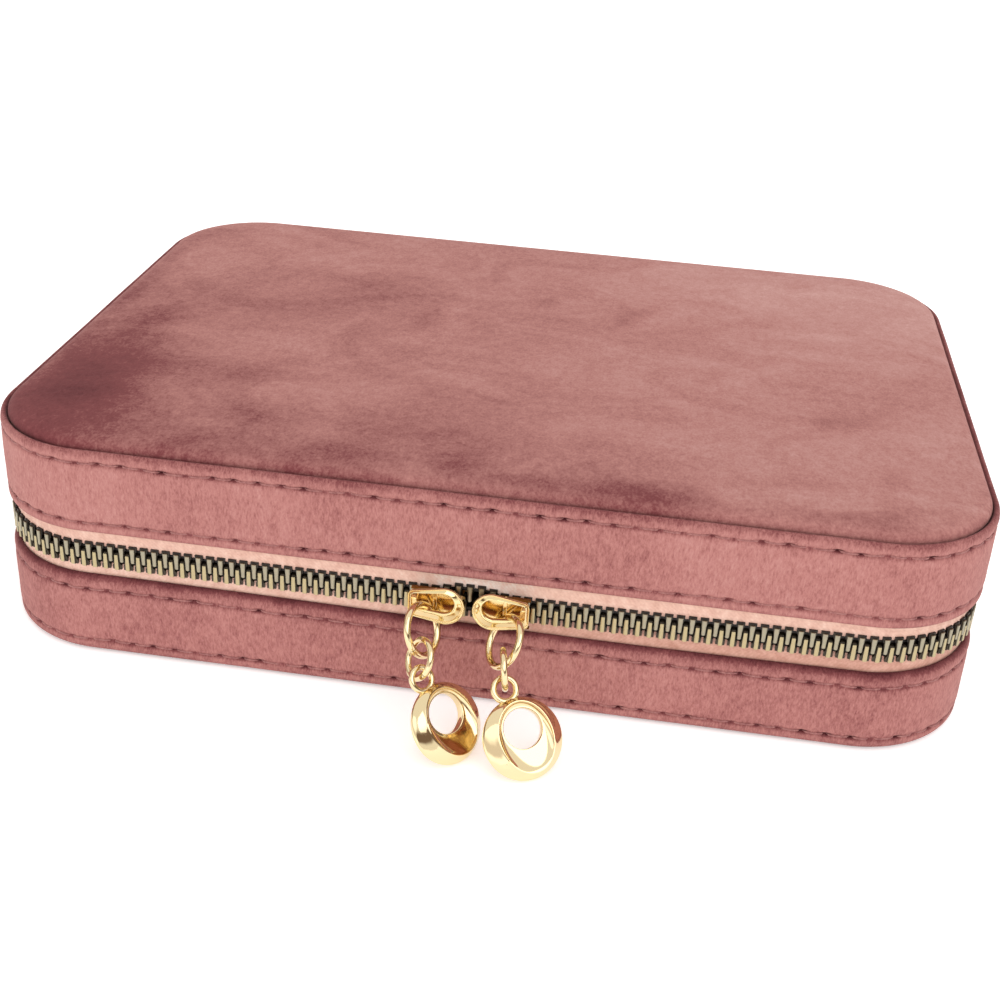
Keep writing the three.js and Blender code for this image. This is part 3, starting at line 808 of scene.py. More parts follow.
@dataclass
class LidShell:
    """The padded top panel, the lid's velvet band, its foam pad, and its lining."""

    case: CaseSizes = field(default_factory=CaseSizes)

    def nap(self, x: Array, y: Array) -> Array:
        """How the panel's pile is brushed, with painted shade and sheen: dark in the left front corner and along
        the front seam.

        Each place is a bell in X and Y, turned and stretched; the broad light one at the back right is a painted
        sheen. A fringe of dark pile follows the front seam, and a thin line of painted shade the whole crease.
        """
        places = (
            # X, Y, half length, half width, turn in degrees, depth
            (-70, -44, 17, 12, 75, -0.27),
            (-76, -38, 24, 10, 85, -0.14),
            (-52, -55, 20, 6, 5, -0.16),
            (-72, -8, 16, 7, 80, -0.13),
            (-81, 12, 26, 3, 90, -0.14),
            (-72, 50, 10, 6, 40, -0.06),
            (-61, -20, 16, 8, 60, -0.06),
            (-20, 8, 8, 2.2, 85, -0.09),
            (-46, -28, 12, 3, 40, -0.06),
            (-40, -45, 12, 4, 20, -0.08),
            (-38, 18, 18, 12, 30, -0.045),
            (-36, -22, 18, 12, 10, -0.07),
            (-52, 22, 30, 20, 10, -0.04),
            (-5, -46, 34, 12, 0, -0.06),
            (22, 22, 6, 2.5, 50, -0.08),
            (2, 23, 4, 2.5, 70, -0.07),
            (18, 14, 5, 2.5, 60, -0.05),
            (59, -22, 7, 4, 20, -0.08),
            (68, -44, 8, 3, 70, -0.05),
            (28, -57, 8, 3.6, 0, -0.2),
            (-3, -55, 5, 4, 60, -0.14),
            (-18, -55, 9, 3, 0, -0.13),
            (8, -57, 8, 2.6, 0, -0.1),
            (60, -58, 18, 2.5, 0, -0.08),
            (-15, 48, 8, 4, 60, -0.03),
            # Painted sheen: the broad lighter place at the back right
            (62, 44, 42, 28, 0, 0.14),
            (64, -20, 30, 40, 0, 0.05),
            (-50, 2, 30, 16, 20, -0.04),
            (-55, 30, 14, 12, 0, 0.03),
            (-66, -11, 5, 2.4, 30, 0.08),
            (-48, -50, 8, 2.5, 20, 0.07),
        )
        total = np.zeros_like(x)
        for at_x, at_y, long, short, turn, depth in places:
            c, s = math.cos(math.radians(turn)), math.sin(math.radians(turn))
            u, v = (x - at_x) * c + (y - at_y) * s, (y - at_y) * c - (x - at_x) * s
            total += depth * np.exp(-((u / long) ** 2) - (v / short) ** 2)
        edge = self.case.outline().inset_of(x, y)
        fringe = 0.07 * np.exp(-edge / 4.5) * (y < 0) * (1.2 - 0.5 * np.tanh(x / 30))
        # Painted shade: a thin dark line along the crease, and a faint darkening in from the edge
        return total - fringe - 0.05 * bell(edge - 1.45, 0.4) - 0.01 * np.exp(-edge / 4.0)

    def relief(self, x: Array, y: Array) -> Array:
        """Slow hollows and rises of the pad, up to 0.12 mm, and fainter close to the rim."""
        reach = np.minimum(self.case.length / 2 - np.abs(x), self.case.width / 2 - np.abs(y))
        rim = np.clip((reach - 3) / 12, 0, 1)
        waves = np.sin(x / 11.0 + 1.3 * np.sin(y / 17.0)) * np.cos(y / 13.0 + 0.7)
        waves += 0.6 * np.sin(x / 6.1 - y / 7.7 + 0.4)
        return 0.075 * rim * waves

    def build(self) -> None:
        """Builds the lid's shell."""
        case = self.case
        rim = [(2.6, 38.3), (1.7, 38.35), (1.38, 38.9), (1.5, 39.6), (2.1, 40.2), (3.2, 40.6), (5.4, 40.88)]
        rim += [(9.0, 41.05), (14.0, 41.15), (18.5, 41.2)]
        top = crowned_panel(case.outline(), rim, 38.3, 0.8, self.nap, self.relief)
        cover = make_object("top_panel", [top], Velvet(along=Along.FORWARD))
        settle(cover, "lid", "lid_top_cover")
        VelvetBand(
            name="lid_band",
            node="lid_side_band",
            body="lid",
            knots=(
                *((1.75, 26.6), (1.6, 25.2), (1.15, 24.35), (0.6, 24.1), (0.18, 24.35), (0.02, 24.9)),
                *((0.0, 26.6), (0.03, 29.0), (0.0, 32.0), (0.02, 35.5), (0.0, 37.6), (0.05, 38.3)),
                *((0.22, 38.95), (0.58, 39.3), (0.95, 39.15), (1.14, 38.75), (1.2, 38.2)),
                *((2.1, 37.4), (2.2, 32.0)),
            ),
            rows=(StitchRow(26.0, seed=11), StitchRow(37.1, seed=12)),
            seed=5,
            shadows=((24.1, 0.5, 0.12), (39.2, 0.9, 0.2)),
        ).build(case)
        foam_rim = [(2.5, 36.9), (2.4, 37.6), (3.0, 38.1), (6.0, 38.15), (18.0, 38.2)]
        foam = make_object("foam_pad", [crowned_panel(case.outline(), foam_rim, 36.85, 4.0)], OpenFoam())
        settle(foam, "lid", "lid_foam_pad")
        LiningRing("lid_lining", "lid", "lid_inner_lining", case.lid_bottom, case.ceiling, True).build(case)
        panel_rim = [(5.4, 34.0), (5.5, 33.95), (6.5, 33.9), (18.0, 33.9)]
        ceiling = make_object(
            "lid_lining_panel_suede", [crowned_panel(case.outline(), panel_rim, 34.75, 2.0)], Suede()
        )
        settle(ceiling, "lid", "lid_lining_panel")


@dataclass(frozen=True)
class LiningRing:
    """The suede that lines a wall and turns over the edge of its board."""

    name: str
    body: str
    node: str
    edge: float
    end: float
    upside_down: bool

    def build(self, case: CaseSizes) -> None:
        """Builds the ring from a hook-shaped profile with one wall 0.5 mm thick."""
        sign = -1.0 if self.upside_down else 1.0
        down = sign * (self.end - self.edge)
        room, outer = case.room_inset, case.board_inset
        face = [(room, down), (room + 0.02, down * 0.5), (room, -1.4), (room - 0.25, -0.35), (room - 0.9, 0.0)]
        lip = [((room + outer) / 2, 0.06), (outer + 0.5, -0.02), (outer + 0.05, -0.45), (outer, -1.0)]
        back = [(outer + 0.3, -1.0), (outer + 0.5, -0.5), (room - 1.2, -0.5), (room - 0.62, -0.95)]
        knots = smooth_line([*face, *lip], 0.5)
        behind = smooth_line([*back, (room - 0.6, down)], 0.8)
        profile = np.concatenate([knots, behind])
        outline = case.outline()
        s = outline.places(1.2)[:-1]
        inset = profile[:, 0] + 0.06 * wobble(s, outline.perimeter(), 31)[:, None] * (profile[:, 1] < -1)
        height = self.edge + sign * profile[:, 1]
        ring = loft(carried(outline, s, inset, height), closed=True)
        settle(make_object(self.name, [ring], Suede()), self.body, self.node)


@dataclass
class BaseShell:
    """The base's velvet band and bottom cover, and its lining."""

    case: CaseSizes = field(default_factory=CaseSizes)

    def build(self) -> None:
        """Builds the base's shell."""
        case = self.case
        VelvetBand(
            name="base_band",
            node="base_side_band",
            body="base",
            knots=(
                *((5.2, 0.5), (4.2, 0.12), (3.0, 0.1), (1.8, 0.16), (0.9, 0.42), (0.32, 0.95), (0.06, 1.7)),
                *((0.0, 3.0), (0.03, 6.0), (0.0, 9.5), (0.0, 12.8), (0.03, 14.2), (0.22, 15.0)),
                *((0.6, 15.5), (1.0, 15.68), (1.26, 15.45), (1.28, 14.6), (1.22, 13.2)),
                *((1.25, 2.2), (2.6, 1.2), (5.0, 1.2)),
            ),
            rows=(StitchRow(13.0, seed=21), StitchRow(2.6, seed=22)),
            seed=9,
            shadows=((15.6, 0.7, 0.3), (15.0, 1.8, 0.08), (0.3, 0.9, 0.15)),
            # Painted shade: the base band a little darker than the lid band
            tone=-0.04,
            dips=True,
        ).build(case)
        rim = [(3.6, 0.35), (3.7, 0.1), (4.6, 0.02), (18.0, 0.0)]
        bottom = make_object(
            "bottom_panel", [crowned_panel(case.outline(), rim, 0.95, 2.0)], Velvet(along=Along.FORWARD)
        )
        settle(bottom, "base", "bottom_cover")
        LiningRing("base_lining", "base", "base_inner_lining", case.base_top, case.floor, False).build(case)
        floor_rim = [(5.4, 3.7), (5.5, 3.8), (6.5, 3.85), (18.0, 3.85)]
        floor = make_object(
            "floor_lining_suede", [crowned_panel(case.outline(), floor_rim, 3.05, 2.0)], Suede()
        )
        settle(floor, "base", "base_floor_lining")


@dataclass
class HingeSpine:
    """The velvet strip that joins lid and base along the back."""

    case: CaseSizes = field(default_factory=CaseSizes)
    thickness: float = 0.9

    def build(self) -> None:
        """Builds the strip as a closed sheet between the shells that bows a little outwards."""
        case = self.case
        back = case.width / 2
        low, high = case.base_top + 0.05, case.lid_bottom - 0.05
        z = np.linspace(low, high, 29)
        share = (z - low) / (high - low)
        bow = 0.12 * np.sin(math.pi * share) - 0.35 * np.abs(2 * share - 1) ** 6
        outside = np.stack([back + bow, z], axis=-1)
        inside = np.stack([back + bow - self.thickness, z], axis=-1)[::-1]
        profile = np.concatenate([outside, inside])
        x = np.linspace(-case.spine_half, case.spine_half, 117)
        loops = np.zeros((len(x), len(profile), 3))
        loops[..., 0] = x[:, None]
        loops[..., 1:] = profile
        spine = make_object("hinge_strip", [loft(loops)], Velvet())
        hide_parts("hinge_spine")
        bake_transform(spine)
        log.info("%s bends from base to lid", spine.name)


@dataclass
class Zipper:
    """Two woven tapes, two rows of teeth and four end stops."""

    case: CaseSizes = field(default_factory=CaseSizes)
    pitch: float = 1.92
    depth: float = 2.4
    chain_half: float = 2.3
    flare: float = 1.0
    flare_reach: float = 6.5
    flare_full: float = 1.5
    mouth: float = 1.3
    tape_gap: float = 0.3
    tape_reach: float = 12.0
    stop_length: float = 1.6

    def lift(self, flat: Array, side: int) -> Array:
        """How far a row stands above its place on a straight chain, at points in X and Y.

        It parts by a smooth step inside the sliders, the lower row by less, and both sag along the front.
        """
        away = self.flare_reach - np.abs(flat[..., 0] - self.mouth)
        share = np.clip(away / (self.flare_reach - self.flare_full), 0, 1)
        step = smooth_step(share) * (flat[..., 1] < 0)
        return (self.flare if side > 0 else -0.4 * self.flare) * step - self.case.sag(flat)

    def bead_end(self) -> float:
        """How close to the chain's middle the tape's bead shows between the roots of its teeth."""
        return self.chain_half - 0.8

    def route(self) -> RoundedRectangle:
        """The chain's route, at the middle of the tape."""
        return self.case.outline(self.case.tape_inset + self.case.tape_thickness / 2)

    def tape(self, side: int) -> Patch:
        """One tape: a flat strip with a bead along the chain, open at the hinge strip.

        The lower one carries painted shade that grows towards the right of the front, by a smooth step in X,
        and away from the chain. The upper one carries painted light round the sliders, by a bell in X.
        """
        outline = self.route()
        end = self.case.spine_half + self.tape_gap
        s = outline.places(0.8, end, outline.perimeter() - end)
        half = self.case.tape_thickness / 2
        near = self.chain_half + self.tape_gap
        bead = self.bead_end()
        knots = [(half, near + self.tape_reach), (half, near + 1.4), (half + 0.04, near + 0.6)]
        knots += [(0.38, near + 0.1), (0.42, near - 0.3), (0.36, bead + 0.2), (0.24, bead + 0.04), (0.0, bead)]
        outside = smooth_line(knots, 0.5)
        inside = outside[::-1] * (-1, 1)
        profile = np.concatenate([outside, inside[1:]])
        loops = carried(outline, s, -profile[:, 0], np.zeros(len(profile)))
        shift = self.lift(loops, side) * np.clip((near + 5 - profile[:, 1]) / 4, 0, 1)
        loops[..., 2] = self.case.zip_line + side * profile[:, 1] + shift
        # Painted shade on the lower tape, stronger to the right
        turned = 0.5 + 0.5 * np.tanh((loops[..., 0] - 4) / 20)
        shade = turned * self.case.front(loops) * np.clip((3.4 + profile[:, 1] - near) / 3.4, 0.3, 1)
        # Painted light round the sliders on the upper tape
        if side > 0:
            shade = -1.1 * bell(loops[..., 0] - 2, 9) * self.case.front(loops)
        return loft(loops, marks={"shade": shade})

    def tooth(self, side: int) -> tuple[Array, Array]:
        """One tooth as loops of (across, height, out) from back to front, and each loop's wear and painted shading.

        A dark block clasps the tape's bead with a wide root, and a narrower bar with a rounded face stands
        on it. The upper row's bars end short of their roots, so a dark bracket shows above each. The block is
        dark from patina and painted shade, and the bar's face rises to a painted highlight, weaker on the upper
        row.
        """
        top = self.chain_half
        # bright sets the painted highlight on the bar's face
        root, bar, end, bright = (0.68, 0.45, top - 0.24, 0.78) if side > 0 else (0.76, 0.4, top - 0.03, 1.0)
        block = [(0.3, -0.74), (0.42, -0.6), (0.44, 0.45), (0.5, 1.3), (root, 1.5), (root, top)]
        face = [(0.26, -0.66), (0.35, -0.54), (0.37, 0.3), (0.4, 0.9), (bar, 1.3), (bar, end)]
        outer, inner = (np.array(half + [(-a, b) for a, b in half[::-1]]) for half in (block, face))
        crest = self.depth / 2
        levels = (
            (outer, -crest, 0.0),
            (outer, crest - 0.42, 0.0 if side > 0 else 0.2),
            (inner, crest - 0.36, 0.16),
            (inner, crest - 0.2, 0.45 * bright),
            (inner * (0.84, 0.99), crest - 0.07, 0.85 * bright),
            (inner * (0.4, 0.98), crest, bright),
        )
        loops = np.stack([np.concatenate([r, np.full((len(r), 1), out)], axis=1) for r, out, _ in levels])
        return loops, np.array([rub for _, _, rub in levels])

    def teeth(self, side: int, phase: float) -> list[Patch]:
        """One row of teeth and a near-black strip between their roots, which stands for painted shade."""
        outline = self.route()
        start, end = self.case.chain_end, outline.perimeter() - self.case.chain_end
        total = end - start
        count = math.floor(total / self.pitch - 1)
        lead = (total - (count - 1) * self.pitch) / 2
        s = start + lead + (np.arange(count) + phase) * self.pitch
        ahead, here = outline.at(s + 0.01), outline.at(s)
        along = (ahead - here) / 0.01
        along /= np.linalg.norm(along, axis=1, keepdims=True)
        out = np.stack([along[:, 1], -along[:, 0]], axis=1)
        shape, rub = self.tooth(side)
        lift = self.lift(here, side)
        flat = (
            here[:, None, None]
            + along[:, None, None] * shape[None, ..., 0:1]
            + out[:, None, None] * shape[None, ..., 2:3]
        )
        height = self.case.zip_line + side * shape[None, ..., 1] + lift[:, None, None]
        loops = np.concatenate([flat, height[..., None]], axis=-1)
        marks = {"rub": np.broadcast_to(rub[:, None], loops.shape[:-1])}
        # A near-black strip between the roots stands in for the shade there
        shadow_strip_places = outline.places(1.0, start, end)
        low, high = 0.85, self.bead_end() + 0.1
        profile = np.array([(-0.4, low), (0.2, low), (0.35, (low + high) / 2), (0.2, high), (-0.4, high)])
        shadow_strip = carried(outline, shadow_strip_places, -profile[:, 0], np.zeros(len(profile)))
        shadow_strip[..., 2] = self.case.zip_line + side * profile[:, 1] + self.lift(shadow_strip, side)
        return [loft(loops, marks=marks), loft(shadow_strip, marks={"rub": np.zeros(shadow_strip.shape[:-1])})]

    def stop(self, side: int, sign: int) -> Patch:
        """One end stop: a small clip with bevelled edges, carried in X."""
        y = self.case.width / 2 - self.case.tape_inset - self.case.tape_thickness / 2
        start = self.case.spine_half + self.tape_gap
        low, high = self.tape_gap / 2, self.chain_half
        middle, half = (low + high) / 2, (high - low) / 2
        soft = superellipse(16, 0.45) * (self.depth / 2, half)
        shares = np.array([0.0, 0.12, 0.88, 1.0])
        sizes = np.array([0.82, 1.0, 1.0, 0.82])
        loops = np.zeros((4, 16, 3))
        loops[..., 0] = (sign * (start + self.stop_length * shares))[:, None]
        loops[..., 1:] = soft * sizes[:, None, None] + (y, 0)
        loops[..., 2] = self.case.zip_line + side * (middle + loops[..., 2])
        return loft(loops, marks={"rub": np.full((4, 16), 0.7)})

    def build(self) -> None:
        """Builds the zipper."""
        for row, side, phase, body in (("lower", -1, 0.0, "base"), ("upper", 1, 0.5, "lid")):
            nodes = [f"{row}_{part}_tape" for part in ("front", "left", "right")]
            settle(make_object(f"{row}_tape", [self.tape(side)], WovenTape()), body, *nodes)
            teeth = make_object(f"{row}_teeth", self.teeth(side, phase), AntiqueBrass(), 30)
            settle(teeth, body, f"{row}_zipper_teeth")
            for end, sign in (("left", -1), ("right", 1)):
                stop = make_object(f"{row}_{end}_end_stop", [self.stop(side, sign)], AntiqueBrass())
                settle(stop, body, f"{row}_{end}_stop")


# Sliders and pulls


@dataclass(frozen=True)
class Link:
    """Where a ring or charm lies: its centre, its axis as a compass turn and a tilt, and its lean."""

    at: tuple[float, float, float]
    turn: float
    tilt: float
    lean: float = 0.0

    def matrix(self) -> Array:
        """Turns about Z by the turn, X by a right angle less the tilt, and its own Z by the lean."""
        turn = Matrix.Rotation(math.radians(self.turn), 3, "Z")
        tilt = Matrix.Rotation(math.radians(90 - self.tilt), 3, "X")
        return np.array(turn @ tilt @ Matrix.Rotation(math.radians(self.lean), 3, "Z"))


def torus(radius: float, wire: float, steps: int, sides: int, gap: float = 0.0, turn: float = 0.0) -> Patch:
    """A ring of round wire in X and Y, closed or with a cut.

    Args:
        radius: of the wire's middle line.
        wire: radius of the wire.
        steps: places round the ring.
        sides: places round the wire.
        gap: width of the cut, or zero.
        turn: where the cut is, as an angle from +X.

    Returns:
        The patch. Each point is the middle line's point plus the wire's circle, which stands across it.
    """
    half = gap / radius / 2
    angle = turn + half + np.arange(steps) * (FULL_TURN - 2 * half) / (steps - 1 if gap else steps)
    around = np.arange(sides) * FULL_TURN / sides
    reach = radius + wire * np.cos(around)
    loops = np.stack(
        [
            np.cos(angle)[:, None] * reach,
            np.sin(angle)[:, None] * reach,
            np.broadcast_to(wire * np.sin(around), (steps, sides)),
        ],
        axis=-1,
    )
    return loft(loops, closed=not gap)


@dataclass(frozen=True)
class SliderShape:
    """Sizes of a slider, with its nose at X zero pointing to +X and the chain's middle at Y and Z zero."""

    length: float = 9.4
    nose_width: float = 6.8
    tail_width: float = 6.0
    inner: float = 1.5
    plate: float = 0.9
    bail_gap: float = 1.8
    bail: float = 0.9
    corner: float = 1.0
    up: int = 1
    drop: float = 0.75

    def oval(
        self, nose: float, tail: float, wide: float, narrow: float, corner: float, rise: float = 0.0
    ) -> Array:
        """A loop in X and Z: a half circle at the nose, and small round corners at a narrower tail.

        Args:
            nose: X of the nose.
            tail: X of the tail.
            wide: half width at the nose.
            narrow: half width at the tail.
            corner: radius of the tail's corners.
            rise: height of the loop's middle.

        Returns:
            Points as (point, 2), the same number whatever the sizes.
        """
        angle = np.linspace(-math.pi / 2, math.pi / 2, 25)
        front = np.stack([nose - wide + wide * np.cos(angle), wide * np.sin(angle)], axis=1)
        bend = np.linspace(math.pi / 2, math.pi, 6)
        x, z = tail + corner * (1 + np.cos(bend)), narrow - corner * (1 - np.sin(bend))
        upper = np.stack([x, z], axis=1)
        top = front[-1] + (upper[0] - front[-1]) * np.linspace(0, 1, 7)[1:-1, None]
        lower = (upper * (1, -1))[::-1]
        below = (top * (1, -1))[::-1]
        back = upper[-1] + (lower[0] - upper[-1]) * np.linspace(0, 1, 5)[1:-1, None]
        return np.concatenate([front, top, upper, back, lower, below]) + (0.0, rise)

    def outline(self, inset: float) -> Array:
        """The plates' outline in X and Z, drawn in by an inset."""
        wide, narrow = self.nose_width / 2 - inset, self.tail_width / 2 - inset
        return self.oval(-inset, inset - self.length, wide, narrow, max(self.corner - inset, 0.15))

    def slab(self, near: float, far: float, bevel: float, inset: float, grime: float = 0.0) -> Patch:
        """A plate between two Y values with rounded edges, which sits as low as the chain that it rides."""
        steps = [(bevel, near), (0.3 * bevel, near + 0.3 * bevel), (0, near + bevel)]
        steps += [(0, far - bevel), (0.3 * bevel, far - 0.3 * bevel), (bevel, far)]
        rings = [(self.outline(inset + extra) - (0.0, self.drop * self.up), y) for extra, y in steps]
        loops = np.array([np.stack([r[:, 0], np.full(len(r), y), r[:, 1]], axis=1) for r, y in rings])
        # Painted shade: the plate's edges and far face are darker than its near face
        painted_edge_shade = np.where(np.arange(len(rings)) == 0, grime, grime + 0.5)
        return loft(loops, marks={"grime": np.broadcast_to(painted_edge_shade[:, None], loops.shape[:2])})

    def rim_ring(self) -> Patch:
        """The open rim in front: an edge bead, a shallow groove, and a face that slopes up to a rounded lip.

        Its section is steps of (share, Y), where the share goes from the outer loop to the hollow's loop.
        The hollow sits high, so the rim is broad below and thin above. Up is +1, or -1 where the slider is
        turned over.
        """
        back = -self.inner - self.plate - self.bail_gap
        front = back - self.bail
        outer = self.oval(0.0, -self.length, self.nose_width / 2, self.tail_width / 2 - 0.45, 1.1, 0.3 * self.up)
        hollow = self.oval(-1.7, 0.7 - self.length, 1.9, 1.4, 0.5, 1.1 * self.up)
        bead = [(0.12, 0.0), (0.02, 0.12), (0.0, 0.32), (0.06, 0.5), (0.16, 0.55), (0.25, 0.46), (0.34, 0.5)]
        lip = [(0.6, front + 0.16), (0.82, front), (0.94, front + 0.06), (1.0, front + 0.3)]
        inside = [(1.02, back - 0.2), (0.94, back)]
        section = smooth_line([*((share, back - out) for share, out in bead), *lip, *inside], 0.05)
        share = section[:, :1, None]
        flat = outer + (hollow - outer) * share
        y = np.broadcast_to(section[:, 1:], flat.shape[:2])
        loops = np.stack([flat[..., 0], y, flat[..., 1]], axis=-1)
        # Painted shade and reflection in the groove and on the hollow's wall
        grime = 0.16 * bell(section[:, :1] - 0.25, 0.06) + 0.12 * (section[:, :1] > 0.99)
        return loft(loops, closed=True, marks={"grime": np.broadcast_to(grime, y.shape)})

    def block(
        self, low: Sequence[float], high: Sequence[float], power: float = 0.35, grime: float = 0.0
    ) -> Patch:
        """A soft-edged block: a superellipse in X and Z whose size swells in from each end in Y."""
        low, high = np.asarray(low, float), np.asarray(high, float)
        middle, half = (low + high) / 2, (high - low) / 2
        soft = superellipse(20, power)
        y = np.array([-1.0, -0.9, 0.9, 1.0])
        sizes = np.array([0.88, 1.0, 1.0, 0.88])
        loops = np.zeros((4, 20, 3))
        loops[..., 0] = middle[0] + half[0] * soft[:, 0] * sizes[:, None]
        loops[..., 1] = (middle[1] + half[1] * y)[:, None]
        loops[..., 2] = middle[2] + half[2] * soft[:, 1] * sizes[:, None]
        return loft(loops, marks={"grime": np.full((4, 20), grime)})

    def patches(self) -> list[Patch]:
        """All the slider's forms: two plates, the rim on its two feet, flanges, and the post at the nose."""
        front = -self.inner - self.plate
        far = front - self.bail_gap
        parts = [self.slab(front, -self.inner, 0.3, 0.62, 0.1)]
        parts.append(self.slab(self.inner, self.inner + self.plate, 0.3, 0.3))
        parts.append(self.rim_ring())
        for x0, x1 in ((-1.7, -0.25), (-9.15, -7.8)):
            parts.append(self.block((x0, far - 0.3, -1.3), (x1, front + 0.4, 1.3), 0.6, grime=0.15))
        # A low cross ridge stiffens the hollow
        low, high = sorted((-1.6 * self.up, 2.2 * self.up))
        parts.append(self.block((-5.5, front - 0.35, low), (-4.9, front + 0.3, high), 0.7, grime=0.1))
        # The flanges carry painted shade, as their slots lie in shadow
        for side in (-1, 1):
            z0, z1 = np.sort([side * 2.36, side * 2.78]) - self.drop * self.up
            for y0, y1 in ((front + 0.05, -1.7), (1.7, -front - 0.05)):
                parts.append(self.block((-self.length + 0.1, y0, z0), (-3.1, y1, z1), 0.3, grime=0.85))
        # The post between the plates, where the rows part, in painted shade
        middle = -self.drop * self.up
        low, high = (-2.0, front + 0.4, middle - 0.4), (-0.9, self.inner + 0.4, middle + 0.4)
        parts.append(self.block(low, high, grime=0.9))
        return parts


@dataclass(frozen=True)
class CharmShape:
    """A dished disc with an off-centre hole and a loop, which lies in X and Y with the loop towards +Y."""

    radius: float = 6.6
    crest: tuple[float, float] = (4.45, 5.75)
    crest_at: tuple[float, float] = (0.3, 0.15)
    hole: float = 3.2
    hole_at: tuple[float, float] = (0.42, 1.5)
    thickness: float = 3.2
    hole_depth: float = 1.4
    loop: float = 1.9
    wire: float = 0.5
    reach: float = 8.2

    def ovals(self, steps: Sequence[tuple[float, float]], outer: Array, inner: Array) -> Array:
        """Ovals between two named ones, as (oval, half width, half length, X, Y, level).

        Each step is a share of the way and a bulge of the level, and every other value goes evenly.
        """
        share, bulge = np.array(steps).T[:, :, None]
        rows = outer + (inner - outer) * share
        rows[:, 4:] += bulge
        return rows

    def patches(self) -> list[Patch]:
        """The disc and its loop.

        Ovals run from the rim over a convex flank to the crest, down the dish to the hole, and back over
        the other face: each point is the oval's centre plus its half axes times cosine and sine.
        """
        half, deep = self.thickness / 2, self.hole_depth / 2
        rim = np.array([self.radius, self.radius, 0.0, 0.0, 0.14])
        crest = np.array([*self.crest, *self.crest_at, half])
        hole = np.array([self.hole, self.hole, *self.hole_at, deep])
        soft = np.array([0.06, 0.06, 0.0, 0.0, 0.0])
        lip = np.array([0.34, 0.34, 0.0, 0.0, 0.08])
        face = np.concatenate(
            [
                [rim],
                self.ovals([(0.03, 0.1), (0.12, 0.16), (0.4, 0.15), (0.7, 0.09), (0.9, 0.03)], rim, crest),
                [crest + soft, crest - soft],
                self.ovals([(0.12, -0.07), (0.4, -0.12), (0.65, -0.12), (0.88, -0.05)], crest, hole + lip),
                [hole + lip, hole + lip * (0.55, 0.55, 0, 0, 1.4), hole + lip * (0.18, 0.18, 0, 0, 0.8)],
                [hole + (0, 0, 0, 0, -0.12)],
            ]
        )
        rows = np.concatenate([face, (face * (1, 1, 1, 1, -1))[::-1]])[:, :, None]
        angle = np.arange(112) * FULL_TURN / 112
        loops = np.stack(
            [
                rows[:, 2] + rows[:, 0] * np.cos(angle),
                rows[:, 3] + rows[:, 1] * np.sin(angle),
                np.broadcast_to(rows[:, 4], (len(rows), len(angle))),
            ],
            axis=-1,
        )
        eye = torus(self.loop, self.wire, 48, 12)
        return [loft(loops, closed=True), eye.turned(np.eye(3), (0, self.reach, 0))]


@dataclass
class Pull:
    """One slider with its two rings and its charm."""

    side: str
    nose: float
    facing: int
    large: Link
    small: Link
    charm: Link
    case: CaseSizes = field(default_factory=CaseSizes)

    def build(self) -> None:
        """Builds the slider and the pull that hangs from it."""
        middle = -self.case.width / 2 + self.case.tape_inset + self.case.tape_thickness / 2
        turn = np.diag([self.facing, 1.0, self.facing])
        at = (self.nose, middle, self.case.zip_line)
        parts = [p.turned(turn, at) for p in SliderShape(up=self.facing).patches()]
        slider = make_object(f"{self.side}_zip_slider", parts, PolishedGold(tint="ecd8a4"), 35)
        settle(slider, f"{self.side}_slider", f"slider_{self.side}")
        for word, link, radius, wire in (("large", self.large, 4.15, 0.6), ("small", self.small, 3.1, 0.55)):
            ring = torus(radius, wire, 72, 14, gap=0.09, turn=math.radians(200)).turned(link.matrix(), link.at)
            made = make_object(f"{self.side}_{word}_jump_ring", [ring], PolishedGold())
            settle(made, f"{self.side}_{word}_ring", f"{word}_ring_{self.side}")
        disc = [p.turned(self.charm.matrix(), self.charm.at) for p in CharmShape().patches()]
        charm = make_object(f"{self.side}_disc_charm", disc, PolishedGold(), 35)
        settle(charm, f"{self.side}_charm", f"charm_{self.side}")


# Inside


